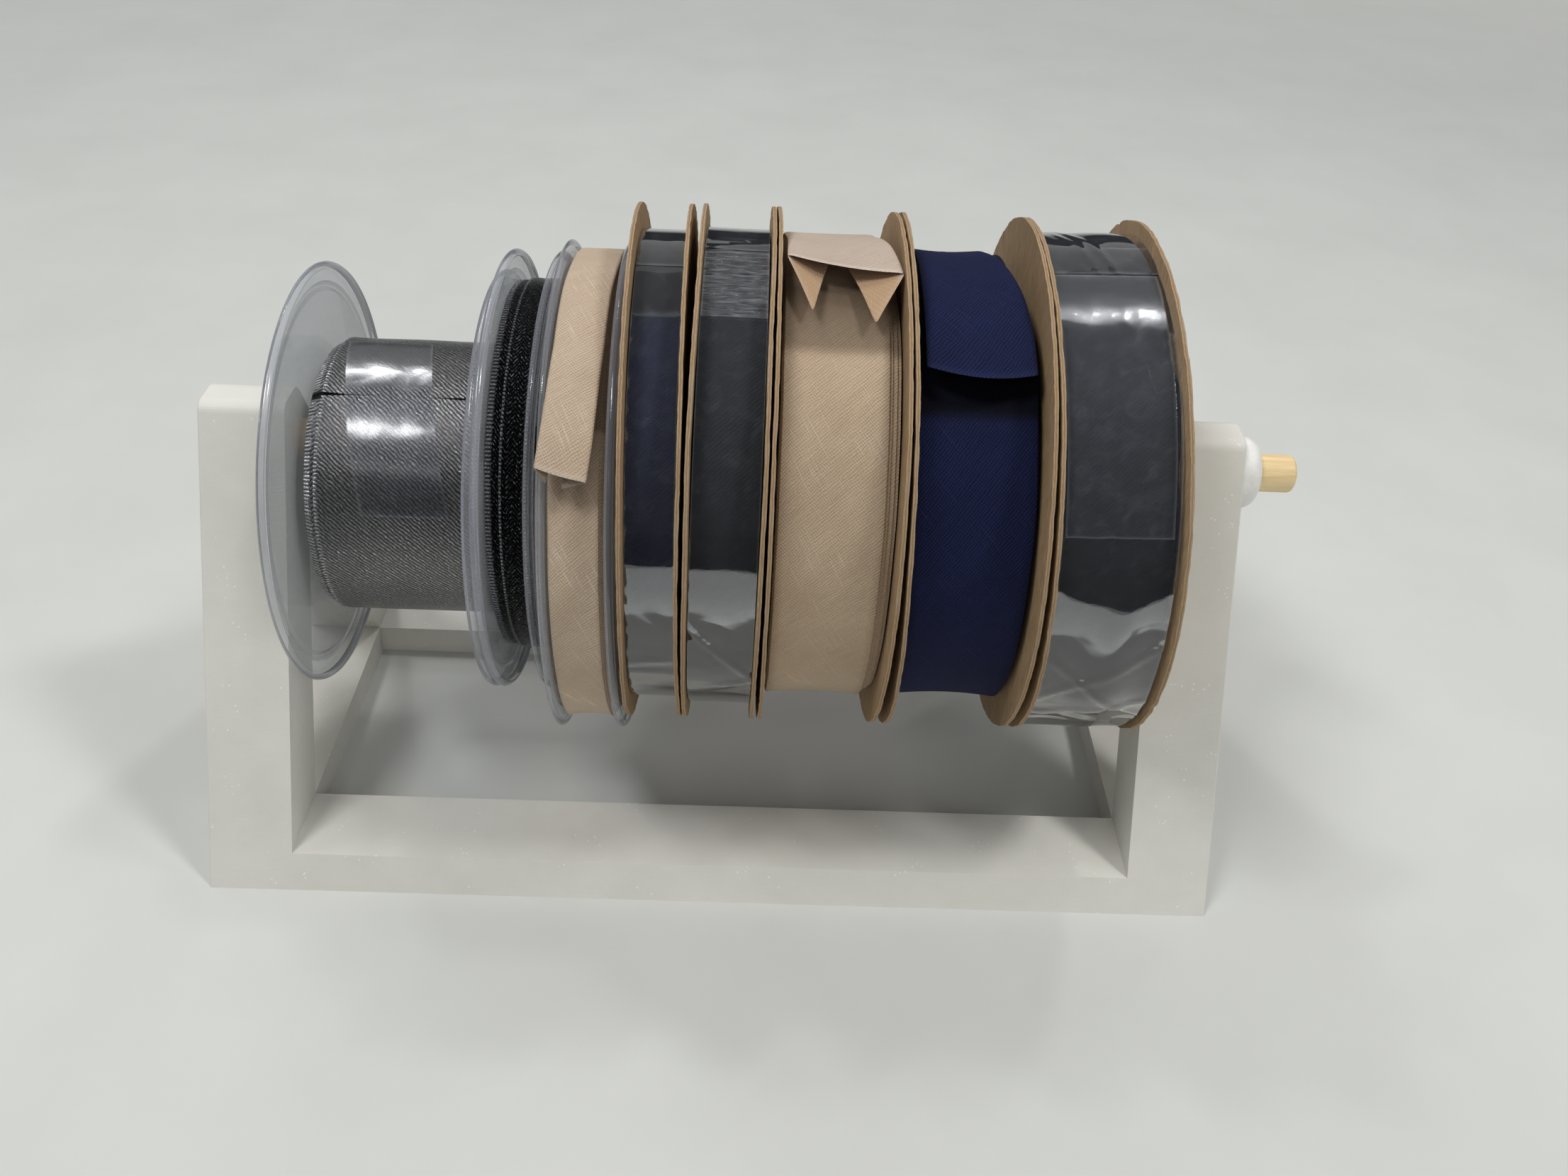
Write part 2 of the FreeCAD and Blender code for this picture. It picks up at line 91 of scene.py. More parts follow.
def choose_faces(piece, test):
    """Enter edit mode with just the faces that pass the test chosen."""
    only(piece)
    bpy.ops.object.mode_set(mode="EDIT")
    bpy.ops.mesh.select_mode(type="FACE")
    bpy.ops.mesh.select_all(action="DESELECT")
    bpy.ops.object.mode_set(mode="OBJECT")
    for face in piece.data.polygons:
        face.select = test(face)
    bpy.ops.object.mode_set(mode="EDIT")


def on_all(operator, **values):
    """In edit mode, choose everything and use one operator on it."""
    bpy.ops.mesh.select_all(action="SELECT")
    operator(**values)


def fresh(name):
    """The primitive just added, under its name and with its place in its mesh."""
    piece = bpy.context.object
    piece.name = piece.data.name = name
    bpy.ops.object.transform_apply(location=True, rotation=True, scale=True)
    return piece


def lathe(name, outline, steps=160):
    """A closed ring: outline is (z, radius) in mm, drawn once round its own edge."""
    nothing_selected()
    start = Vector((outline[0][1], 0, outline[0][0])) * MM
    bpy.ops.mesh.primitive_circle_add(vertices=3, radius=MM, location=start)
    piece = fresh(name)
    bpy.ops.object.mode_set(mode="EDIT")
    bpy.ops.mesh.select_mode(type="VERT")
    on_all(bpy.ops.mesh.merge, type="CENTER")
    for (z0, r0), (z1, r1) in zip(outline, outline[1:] + outline[:1]):
        bpy.ops.mesh.extrude_vertices_move(
            TRANSFORM_OT_translate={"value": ((r1 - r0) * MM, 0, (z1 - z0) * MM)})
    on_all(bpy.ops.mesh.remove_doubles, threshold=WELD)
    on_all(bpy.ops.mesh.spin, steps=steps, angle=math.tau, center=(0, 0, 0), axis=(0, 0, 1))
    on_all(bpy.ops.mesh.remove_doubles, threshold=WELD * 2)
    on_all(bpy.ops.mesh.normals_make_consistent, inside=False)
    bpy.ops.object.mode_set(mode="OBJECT")
    return piece


# %% [markdown]
# ## Flat pieces that follow a spool
# Ends of binding, films and strips of tape are sheets. A grid is laid out flat and every point is sent
# to its place by a rule, so the sheet bends as cloth does. Solidify gives it its thickness. The outermost
# points carry an attribute, "border", where the finishes paint a thin highlight: the light a cut edge
# catches.

# %% Polar places, sheets and thickness
def around(theta, radius, z):
    """A place on a spool: theta in degrees from the front (0) over the top (90)."""
    a = math.radians(theta)
    return Vector((radius * math.sin(a), radius * math.cos(a), z)) * MM


def theta_of(co):
    """The way back: the theta of a point."""
    return math.degrees(math.atan2(co.x, co.y))


def between(stations, t):
    """Straight lines through stations of (t, value, value, ...)."""
    for low, high in zip(stations, stations[1:]):
        if t <= high[0]:
            k = (t - low[0]) / (high[0] - low[0])
            k = min(max(k, 0.0), 1.0)
            return [a + (b - a) * k for a, b in zip(low[1:], high[1:])]
    return list(stations[-1][1:])


def smooth(t):
    """0 to 1 with soft ends."""
    t = min(max(t, 0.0), 1.0)
    return t * t * (3 - 2 * t)


def set_mark(piece, name, values):
    """A point attribute that a finish can read."""
    mark = piece.data.attributes.new(name, "FLOAT", "POINT")
    mark.data.foreach_set("value", values)


def laid_sheet(name, columns, rows, place, wide, long):
    """A grid of columns and rows, whose point (u, v) goes to place(u, v); wide and long in mm."""
    nothing_selected()
    bpy.ops.mesh.primitive_grid_add(x_subdivisions=columns, y_subdivisions=rows, size=2, calc_uvs=True)
    sheet = fresh(name)
    points = sheet.data.vertices
    # "border": where the finishes paint the highlight of a cut edge.
    set_mark(sheet, "border", [1.0 if max(abs(p.co.x), abs(p.co.y)) > 0.999 else 0.0 for p in points])
    for point in points:
        point.co = place((point.co.x + 1) / 2, (point.co.y + 1) / 2)
    sheet.data.uv_layers[0].name = "flat"
    for corner in sheet.data.uv_layers["flat"].data:
        corner.uv = (corner.uv[0] * wide, corner.uv[1] * long)
    return sheet


def modify(piece, kind, **values):
    """Add a modifier, set it and apply it."""
    only(piece)
    modifier = piece.modifiers.new(kind.title(), kind)
    for key, value in values.items():
        setattr(modifier, key, value)
    bpy.ops.object.modifier_apply(modifier=modifier.name)


def thicken(piece, thick, outward=1.0):
    """Give a sheet its thickness in mm."""
    modify(piece, "SOLIDIFY", thickness=thick * MM, offset=outward, use_even_offset=False)


# %% [markdown]
# ## Cloth needs a flat map
# Weave runs along and across a ribbon, never along x, y and z. So wound pieces get a map in millimetres:
# one number runs round the spool, the other runs over the outline from one side to the other.

# %% The flat map of a wound piece
def angle_near(co, middle):
    """The point's angle round the axis, on the face's own side of the seam."""
    angle = math.atan2(co.y, co.x)
    return angle + math.tau * round((middle - angle) / math.tau)


def map_corners(piece, layer, place):
    """Send every face corner to place(face, point, angle) on a map."""
    points, loops, corners = piece.data.vertices, piece.data.loops, layer.data
    for face in piece.data.polygons:
        middle = math.atan2(face.center.y, face.center.x)
        for loop in face.loop_indices:
            co = points[loops[loop].vertex_index].co
            corners[loop].uv = place(face, co, angle_near(co, middle))


def flat_map(piece, outline, radius):
    """Map "flat": (path over the outline, distance round the spool), both in mm."""
    path, run = {}, 0.0
    for k, (z, r) in enumerate(outline):
        if k:
            run += math.dist(outline[k], outline[k - 1])
        path.setdefault((round(z, 3), round(r, 3)), run)
    keys = list(path)

    def over(co):
        z, r = co.z / MM, math.hypot(co.x, co.y) / MM
        key = (round(z, 3), round(r, 3))
        if key not in path:
            near = min(keys, key=lambda k: abs(k[0] - z) + abs(k[1] - r))
            path[key] = path[near]
        return path[key]

    layer = piece.data.uv_layers.new(name="flat")
    map_corners(piece, layer, lambda face, co, angle: (over(co), angle * radius))


# %% Small unevenness, and the last steps of every piece
BUMP, BUMP_LONG = 0.12, 14


def uneven(piece, seed):
    """Soft bumps, BUMP mm high and BUMP_LONG mm long, out from the axis and along it."""
    shift = Vector((seed * 7.3, seed * 3.1, 0))
    for point in piece.data.vertices:
        where = point.co / (BUMP_LONG * MM) + shift
        out = Vector((point.co.x, point.co.y, 0)).normalized()
        point.co += out * (noise.noise(where) * BUMP * MM)
        point.co.z += noise.noise(where + Vector((0, 0, 9.7))) * BUMP * MM


def settle(piece, letter, finishes, nodes, slot, crease=60):
    """Put a drawn piece on its spool: place, finishes, body, and the nodes that it stands for."""
    piece.data.transform(spool_at[letter])
    for finish in finishes:
        piece.data.materials.append(finish)
    only(piece)
    bpy.ops.object.shade_smooth_by_angle(angle=math.radians(crease))
    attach(piece, "spool_" + letter)
    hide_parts(*nodes)
    print(piece.name, len(piece.data.polygons), "faces")
    return piece


# %% [markdown]
# # Finishes
# Every surface gets its own small set of nodes. Shader maths reads best as plain sums, so a thin class
# wraps a socket: adding or multiplying two of them adds the Math node behind. One method makes any other
# node: its type, its settings, and what goes into its sockets.

# %% The wrapped socket
def math_node(operation, reflected=False):
    """What an operator does: it adds one Math node."""
    def method(self, other):
        first, second = (other, self) if reflected else (self, other)
        return self.nodes.node("ShaderNodeMath", {"operation": operation}, {0: first, 1: second})
    return method


class Val:
    """A socket that can be used in sums."""

    def __init__(self, nodes, socket):
        self.nodes, self.socket = nodes, socket

    __add__ = __radd__ = math_node("ADD")
    __mul__ = __rmul__ = math_node("MULTIPLY")
    __sub__, __rsub__ = math_node("SUBTRACT"), math_node("SUBTRACT", reflected=True)
    __truediv__, __rtruediv__ = math_node("DIVIDE"), math_node("DIVIDE", reflected=True)
    __gt__, __lt__ = math_node("GREATER_THAN"), math_node("LESS_THAN")


def tone(colour):
    """A screen colour from 0 to 255 as the linear colour that shaders take."""
    line = [(c / 255 / 12.92) if c <= 10 else ((c / 255 + 0.055) / 1.055) ** 2.4 for c in colour]
    return (*line, 1.0)


# %% Nodes, and the nodes of a finish
class Nodes:
    """The nodes of a material or a world, and one way to add more."""

    def __init__(self, owner):
        owner.use_nodes = True
        self.tree = owner.node_tree

    def set(self, node, values):
        """Link or set sockets; a colour is given as it looks on a screen, from 0 to 255."""
        for key, value in values.items():
            socket = node.inputs[key]
            if isinstance(value, Val):
                self.tree.links.new(value.socket, socket)
            else:
                socket.default_value = tone(value) if socket.type == "RGBA" else value

    def node(self, kind, settings=None, values=None, out=0):
        made = self.tree.nodes.new(kind)
        for key, value in (settings or {}).items():
            setattr(made, key, value)
        self.set(made, values or {})
        return Val(self, made.outputs[out])

    def mix(self, share, first, second, how="MIX"):
        """Two colours mixed by share."""
        return self.node("ShaderNodeMix", {"data_type": "RGBA", "blend_type": how},
                         {0: share, 6: first, 7: second}, out=2)

    def ray(self, kind):
        """1 for rays of one kind: Camera, Glossy, Shadow or Transmission."""
        return self.node("ShaderNodeLightPath", out=f"Is {kind} Ray")


class Finish(Nodes):
    """A material, its main shader and its patterns."""

    def __init__(self, name, **constants):
        self.material = bpy.data.materials.new(name)
        super().__init__(self.material)
        self.shader = self.tree.nodes["Principled BSDF"]
        self.wear(**constants)

    def wear(self, **values):
        """Set the main shader's sockets, or connect what changes over the surface."""
        self.set(self.shader, {key.replace("_", " "): value for key, value in values.items()})
        return self.material

    def surface(self, share, first, second):
        """Show a mix of two shaders in place of the main one."""
        shown = self.either(share, first, second)
        self.tree.links.new(shown.socket, self.tree.nodes["Material Output"].inputs["Surface"])
        return self.material

    def either(self, share, first, second):
        """Two shaders mixed by share."""
        return self.node("ShaderNodeMixShader", None, {0: share, 1: first, 2: second})

    def glow(self, colour):
        return self.node("ShaderNodeEmission", None, {"Color": colour, "Strength": 1.0})

    def mark(self, name):
        """A point attribute, 0 to 1."""
        return self.node("ShaderNodeAttribute", {"attribute_name": name}, out="Fac")

    def flat(self, turn=0.0, scale=(1, 1, 1), shift=(0, 0, 0)):
        """The flat map in mm, first turned by degrees, then scaled."""
        uv = self.node("ShaderNodeUVMap", {"uv_map": "flat"}, out="UV")
        turned = self.node("ShaderNodeMapping", {"vector_type": "POINT"},
                           {"Vector": uv, "Location": shift, "Rotation": (0, 0, math.radians(turn))})
        return self.node("ShaderNodeVectorMath", {"operation": "MULTIPLY"}, {0: turned, 1: scale})

    def here(self, scale=(1, 1, 1)):
        """Object coordinates, in metres, scaled."""
        place = self.node("ShaderNodeTexCoord", out="Object")
        return self.node("ShaderNodeMapping", {"vector_type": "POINT"}, {"Vector": place, "Scale": scale})

    def part(self, vector, letter):
        return self.node("ShaderNodeSeparateXYZ", None, {0: vector}, out=letter)

    def noise(self, vector, scale=1.0, detail=2.0, rough=0.5, warp=0.0):
        return self.node("ShaderNodeTexNoise", {"noise_dimensions": "3D"},
                         {"Vector": vector, "Scale": scale, "Detail": detail, "Roughness": rough,
                          "Distortion": warp})

    def wave(self, value, period, phase=0.0):
        """0 to 1 and back over a period."""
        angle = value * (math.tau / period) + phase
        return self.node("ShaderNodeMath", {"operation": "SINE"}, {0: angle}) * 0.5 + 0.5

    def clamp(self, value, low=0.0, high=1.0):
        """0 at low, 1 at high, and no more outside them."""
        return self.node("ShaderNodeMapRange", {"clamp": True},
                         {"Value": value, "From Min": low, "From Max": high})

    def bump(self, height, strength, distance):
        """A normal that follows height; distance in metres."""
        return self.node("ShaderNodeBump", None,
                         {"Height": height, "Strength": strength, "Distance": distance})


# %% [markdown]
# ## The printed stand, the cap and the dowel
# The stand is printed with a matt, waxy plastic: warm white, with a slight cloudiness, tiny specks where
# the print head started a line, and layers too fine to see except in raking light. The cap that
# plugs the dowel's hole is whiter and bumpier. The dowel is turned from a pale wood with long fine grain.

# %% Finishes of the stand, the cap and the dowel
STAND_LAYER, CAP_LAYER = 0.0004, 0.0003


def printed_plastic():
    f = Finish("printed_white", Specular_IOR_Level=0.45, Subsurface_Weight=0.04, Subsurface_Scale=0.002)
    place = f.here()
    cloud = f.noise(place, 38, 4, 0.6)
    fine = f.noise(place, 420, 2, 0.5)
    line = f.wave(f.part(place, "Z"), STAND_LAYER)
    speck = f.node("ShaderNodeTexVoronoi", {"feature": "F1"}, {"Vector": place, "Scale": 620.0})
    dot = (speck < 0.16) * (f.noise(place, 120, 1, 0.5) > 0.62)
    shade = f.mix(f.clamp(cloud, 0.35, 0.7), (226, 224, 215), (217, 215, 205))
    shade = f.mix(dot * 0.7, shade, (248, 248, 243))
    rough = 0.42 + cloud * 0.14 + fine * 0.06 - dot * 0.15
    height = line * 0.35 + fine * 0.5 + dot * 1.2
    return f.wear(Base_Color=shade, Roughness=rough, Normal=f.bump(height, 0.22, 0.00012))


def cap_plastic():
    f = Finish("bush_white", Specular_IOR_Level=0.55, Subsurface_Weight=0.05, Subsurface_Scale=0.002)
    place = f.here()
    lump = f.noise(place, 330, 3, 0.6)
    line = f.wave(f.part(place, "X"), CAP_LAYER)
    shade = f.mix(f.clamp(lump, 0.3, 0.7), (234, 233, 228), (246, 245, 240))
    height = lump + line * 0.25
    return f.wear(Base_Color=shade, Roughness=0.3 + lump * 0.2, Normal=f.bump(height, 0.4, 0.0003))


def dowel_wood():
    f = Finish("rod_wood", Specular_IOR_Level=0.3)
    grain = f.noise(f.here(scale=(60, 900, 900)), 1.0, 4, 0.65, 0.6)
    band = f.noise(f.here(scale=(12, 220, 220)), 1.0, 2, 0.5, 0.3)
    shade = f.mix(f.clamp(grain, 0.3, 0.75), (240, 216, 168), (214, 180, 124))
    shade = f.mix(f.clamp(band, 0.45, 0.7) * 0.5, shade, (246, 228, 186))
    return f.wear(Base_Color=shade, Roughness=0.55 + grain * 0.2, Normal=f.bump(grain, 0.3, 0.0001))


FRAME_FINISHES = {"stand_frame": printed_plastic(), "end_bush": cap_plastic(), "axle_rod": dowel_wood()}
for node_name, finish in FRAME_FINISHES.items():
    solid = frame["nodes"][node_name]
    solid.data.materials.clear()
    solid.data.materials.append(finish)
print("finishes on", ", ".join(FRAME_FINISHES))

# %% [markdown]
# ## Woven finishes
# Bias binding is plain cotton cut at 45 degrees, so its threads cross the tape slantwise: fine slanted
# lines, with here and there a thicker thread. Satin ribbon has long floats that shine along the ribbon and
# a twill that breaks the shine into sparkles, which come from lower roughness and from highlights painted
# into its colour. Both are drawn on the flat map with waves, made uneven by noise that is stretched along
# the thread. The deep folds under an open end are darker than a few bounces of light make them, so both
# also read the attribute "under", which paints shade into the colour: a painted shadow under open ends and
# in the slit of the grey ribbon, and painted shade on the turned-in flaps.

# %% Binding
def binding(name, dark, light, slub, deep=(0, 0, 0), period=0.62, slubs=0.3, seed=0.0, sheen=0.12,
            cut=0.25, line=0.45, slant=-48):
    """Plain weave: two sets of threads, slubs (thicker threads) and a painted highlight on the cut edge; deep
    is the colour of the painted shade.
    """
    f = Finish(name, Specular_IOR_Level=0.18, Sheen_Weight=sheen, Sheen_Roughness=0.5)
    one = f.flat(slant, shift=(seed, 0, 0))
    two = f.flat(slant + 90, shift=(0, seed, 0))
    wobble = f.noise(f.flat(0), 0.35, 2, 0.5)
    first = f.wave(f.part(one, "X") + wobble * 0.9, period)
    second = f.wave(f.part(two, "X") + wobble * 0.9, period * 0.86)
    thread = f.noise(f.flat(slant, scale=(2.6, 0.12, 1)), 1.0, 3, 0.6)
    other = f.noise(f.flat(slant + 75, scale=(2.6, 0.05, 1)), 1.0, 3, 0.6)
    fleck = f.noise(f.flat(0), 1.9, 3, 0.7)
    cover = first * line + second * line * 0.7 + thread * 0.5 + fleck * 0.4
    shade = f.mix(f.clamp(cover, 0.4, 1.1), dark, light)
    thick = f.clamp(other, 0.57, 0.72) * f.clamp(f.noise(f.flat(0), 0.12, 1, 0.5), 0.38, 0.55)
    shade = f.mix(thick * slubs, shade, slub)
    shade = f.mix(f.clamp(f.noise(f.flat(0), 0.07, 2, 0.5), 0.3, 0.75) * 0.18, shade, dark, "MULTIPLY")
    # Painted highlight along the cut edge, where "border" is set.
    shade = f.mix(f.clamp(f.mark("border"), 0.1, 0.9) * cut, shade, slub)
    # Painted shade where "under" is set: the deep folds under an open end, and the turned-in flaps.
    shade = f.mix(f.mark("under") * 0.85, shade, deep)
    height = first * 0.6 + second * 0.45 + thread * 0.7 + thick * 0.9
    return f.wear(Base_Color=shade, Roughness=0.78 + fleck * 0.15, Normal=f.bump(height, 0.5, 0.00016))


# The fourth colour of a binding is the colour of its painted shade, under open ends and on turned-in flaps.
BROWN_SHADOW = (62, 46, 32)
beige_binding = binding("beige_binding", (168, 148, 126), (218, 198, 174), (246, 234, 214), BROWN_SHADOW,
                        seed=3.0, slubs=0.6, line=0.3)
rose_binding = binding("rose_beige_binding", (164, 143, 118), (211, 190, 163), (240, 226, 206), BROWN_SHADOW,
                       seed=11.0, slubs=0.35, line=0.3)
rose_end = binding("rose_beige_end", (176, 158, 142), (209, 193, 177), (240, 228, 214), (172, 132, 86),
                   seed=13.0, slubs=0.2, line=0.25)
navy_binding = binding("navy_binding", (5, 8, 27), (28, 36, 76), (76, 84, 130), period=0.66,
                       slubs=0.12, seed=7.0, sheen=0.02, cut=0.1, slant=-35)
print("bindings", [m.name for m in (beige_binding, rose_binding, rose_end, navy_binding)])


# %% Satin
def satin(name, dark, light, bright, rough, period, spark, level, metal=0.0, depth=0.5, zigzag=None):
    """Twill, straight or folded back every zigzag mm; spark is how strongly glints are painted in the bright
    colour.
    """
    f = Finish(name, Specular_IOR_Level=level, Metallic=metal)
    flat = f.flat(0)
    across, along = f.part(flat, "X"), f.part(flat, "Y")
    if zigzag:
        fold = f.node("ShaderNodeMath", {"operation": "PINGPONG"}, {0: across, 1: zigzag})
        slant = along * 0.8 + fold * 1.1
    else:
        slant = along * 0.72 + across * 0.68
    twill = f.wave(slant + f.noise(flat, 0.5, 2, 0.5) * 0.9, period)
    rib = f.wave(along, period * 0.5)
    yarn = f.noise(f.flat(0, scale=(4.5, 0.12, 1)), 1.0, 3, 0.6)
    # Glints: the bright colour where glint noise meets the twill, a painted highlight; roughness drops there
    # too, and on metallic satin the bright colour also strengthens the real reflection.
    glint = f.noise(f.flat(0, scale=(1.9, 1.5, 1)), 1.0, 3, 0.75)
    painted_glints = f.clamp(glint, 0.52, 0.72) * f.clamp(twill, 0.45, 0.95)
    picot = f.clamp(f.mark("selvedge"), 0.2, 0.8)
    dots = picot * f.wave(along, 0.9)
    shade = f.mix(f.clamp(twill * 0.45 + yarn * 0.4 + glint * 0.45, 0.35, 1.0), dark, light)
    shade = f.mix(painted_glints * spark, shade, bright)
    shade = f.mix(picot * 0.5, shade, dark)
    shade = f.mix(dots * 0.6, shade, bright)
    # Painted shadow where "under" is set: the slit of the grey ribbon.
    shade = f.mix(f.mark("under"), shade, (1, 1, 1))
    gloss = rough + twill * 0.12 - painted_glints * 0.16 * spark
    height = twill * 0.8 + rib * 0.2 + yarn * 0.5 + glint * 0.8 + dots * 2.0
    return f.wear(Base_Color=shade, Roughness=gloss, Normal=f.bump(height, depth, 0.0002))


grey_satin = satin("grey_satin", (60, 60, 61), (146, 146, 146), (252, 252, 252), rough=0.24,
                   period=0.8, spark=0.95, level=0.9, metal=0.85, depth=0.55)
black_satin = satin("black_satin", (1, 1, 2), (6, 7, 8), (214, 217, 222), rough=0.24,
                    period=0.9, spark=0.8, level=0.35, metal=0.85, depth=1.2, zigzag=1.5)
navy_ribbon = satin("navy_ribbon", (7, 10, 34), (24, 30, 70), (40, 48, 92), rough=0.6,
                    period=0.7, spark=0.15, level=0.15)
charcoal_ribbon = satin("charcoal_ribbon", (9, 10, 11), (28, 29, 30), (92, 93, 94), rough=0.55,
                        period=0.8, spark=0.4, level=0.2)
print("ribbons", [m.name for m in (grey_satin, black_satin, navy_ribbon, charcoal_ribbon)])

# %% [markdown]
# ## Kraft card
# The reels are die-cut from laminated brown card. Its faces show short fibres in the running direction of
# the paper and faint grey streaks; the cut edge is lighter, with a dark line where two plies meet.

# %% Faces and cut edges of card
def card_face():
    f = Finish("kraft_card", Specular_IOR_Level=0.25)
    fibre = f.noise(f.flat(0, scale=(1.5, 0.14, 1)), 1.0, 4, 0.7, 0.3)
    fine = f.noise(f.flat(7, scale=(3.0, 0.9, 1)), 1.0, 3, 0.7)
    cloud = f.noise(f.flat(0), 0.08, 3, 0.6)
    shade = f.mix(f.clamp(fibre, 0.32, 0.72), (132, 108, 80), (188, 158, 120))
    shade = f.mix(f.clamp(fine, 0.6, 0.75) * 0.5, shade, (208, 184, 150))
    shade = f.mix(f.clamp(cloud, 0.35, 0.7) * 0.35, shade, (150, 132, 108))
    height = fibre * 0.6 + fine
    return f.wear(Base_Color=shade, Roughness=0.72 + fine * 0.15, Normal=f.bump(height, 0.35, 0.00012))


def card_edge():
    f = Finish("kraft_edge", Specular_IOR_Level=0.2)
    across = f.part(f.flat(0), "X") + (f.noise(f.flat(0, scale=(0, 0.35, 1)), 1.0, 2, 0.6) - 0.5) * 0.35
    seam = f.clamp(f.wave(across, 1.0, 1.57), 0.0, 0.16)
    torn = f.noise(f.flat(0, scale=(7, 0.8, 1)), 1.0, 4, 0.75)
    cloud = f.noise(f.flat(0, scale=(0.5, 0.07, 1)), 1.0, 2, 0.5)
    shade = f.mix(f.clamp(torn, 0.3, 0.75), (142, 117, 88), (194, 167, 132))
    shade = f.mix((1 - seam) * 0.6, shade, (110, 84, 60))
    shade = f.mix(f.clamp(cloud, 0.5, 0.7) * 0.4, shade, (168, 150, 132))
    return f.wear(Base_Color=shade, Roughness=0.8 + torn * 0.1, Normal=f.bump(torn + seam, 0.5, 0.0002))


kraft_face, kraft_rim = card_face(), card_edge()
print("card", kraft_face.name, kraft_rim.name)

# %% [markdown]
# ## Clear things
# Real refraction would suit a thick flange, but it is slow and turns thin clear walls dark. A flange mostly
# shows what is behind it, a little milky, and more of its own grey-blue and its shine where it is seen edge
# on. So flange, film and tape are one recipe: a see-through shader, mixed by how steeply it is looked at
# with shine and a little milk. Shadow rays pass nearly freely, because light does go through them.

# %% Clear plastic, film and tape
CLEAR_SHADE = 0.12


def clear_skin(name, milk, shade, rough, height, strength, deep, gain, cut=0.05, smear=0.0, streak=1.0):
    """height(finish) gives the bumps; gain is the shine, cut a painted highlight of milk along the border,
    smear and streak old glue.
    """
    f = Finish(name)
    f.tree.nodes.remove(f.shader)
    normal = f.bump(height(f), strength, deep)
    shine = f.node("ShaderNodeBsdfGlossy", {"distribution": "GGX"}, {"Roughness": rough, "Normal": normal})
    cloudy = f.node("ShaderNodeBsdfDiffuse", None, {"Color": shade, "Normal": normal})
    steep = f.node("ShaderNodeFresnel", None, {"IOR": 1.5, "Normal": normal}) * gain
    # More milk along the border: a painted highlight of the cut edge.
    dull = f.mark("border") * cut + milk
    if smear:
        glue = f.noise(f.flat(0, scale=(1, streak, 1)), 0.22, 5, 0.7, 1.0)
        dull = dull + f.clamp(glue, 0.5, 0.85) * smear
    own = f.clamp(steep + dull)
    both = f.either(f.clamp(dull / (steep + dull)), shine, cloudy)
    through = f.node("ShaderNodeBsdfTransparent", None, {"Color": (250, 251, 253)})
    return f.surface(own * (1 - f.ray("Shadow") * (1 - CLEAR_SHADE)), through, both)


def moulded(name, milk, shade, rough, size, strength, deep, gain):
    """Clear plastic with soft waves left by the mould."""
    return clear_skin(name, milk, shade, rough, lambda f: f.noise(f.here(), size, 2, 0.5),
                      strength, deep, gain)


DISC = {"rough": 0.06, "size": 90, "strength": 0.06, "deep": 0.0002, "gain": 0.3}
RAISED = {"size": 150, "strength": 0.08, "deep": 0.0003}
clear_finish = moulded("clear_plastic", 0.01, (190, 194, 198), **DISC)
clear_cloudy = moulded("clear_cloudy", 0.34, (190, 192, 190), **DISC)
clear_border = moulded("clear_border", 0.08, (244, 246, 248), **DISC)
clear_bead = moulded("clear_bead", 0.20, (196, 198, 206), rough=0.10, gain=1.1, **RAISED)
clear_ring = moulded("clear_ring", 0.24, (234, 236, 240), rough=0.06, gain=0.7, **RAISED)
film_finish = clear_skin("clear_film", 0.02, (206, 210, 218), 0.035,
                         lambda f: f.noise(f.flat(0), 0.06, 2, 0.5, 0.8), 0.4, 0.0004, 3.0,
                         cut=0.07, smear=0.03)
tape_finish = clear_skin("clear_tape", 0.012, (214, 216, 220), 0.16,
                         lambda f: f.noise(f.flat(0), 0.16, 2, 0.5, 0.5), 0.3, 0.0003, 0.8, smear=0.03)
creased_tape = clear_skin("creased_tape", 0.02, (214, 216, 220), 0.14,
                          lambda f: f.noise(f.flat(0, scale=(0.10, 1.0, 1)), 0.6, 3, 0.6, 1.5), 0.8, 0.0008,
                          1.4, cut=0.1, smear=0.24, streak=7.0)
print("clear finishes", [m.name for m in bpy.data.materials if m.name.startswith(("clear", "creased"))])

# %% [markdown]
# # The three clear spools
# Each clear spool is two moulded halves: a disc with a bead round its rim and a raised ring inside it, and
# a hub tube. A disc could be cut from a cylinder, but the bead, the ring and the soft corners all follow
# one outline, so the lathe makes it in one go and the bevels are points of that outline.

# %% Clear halves
CLEAR = {"a": (52.4, 46.0, 15.1), "b": (54.6, 12.9, 12.0), "c": (60.9, 16.5, 15.8)}
BEAD = [(0, 1.0), (0.08, 0.5), (0.45, 0.12), (0.9, 0), (1.35, 0.12), (1.9, 0.5), (2.1, 0.9), (1.95, 1.3)]
SLIM_BEAD, SLIM_SIDES = 0.64, [("b", 1), ("c", -1)]
OUTSET, WALL, RING_IN, HUB_WALL = 0.5, 1.1, 5.9, 2.2


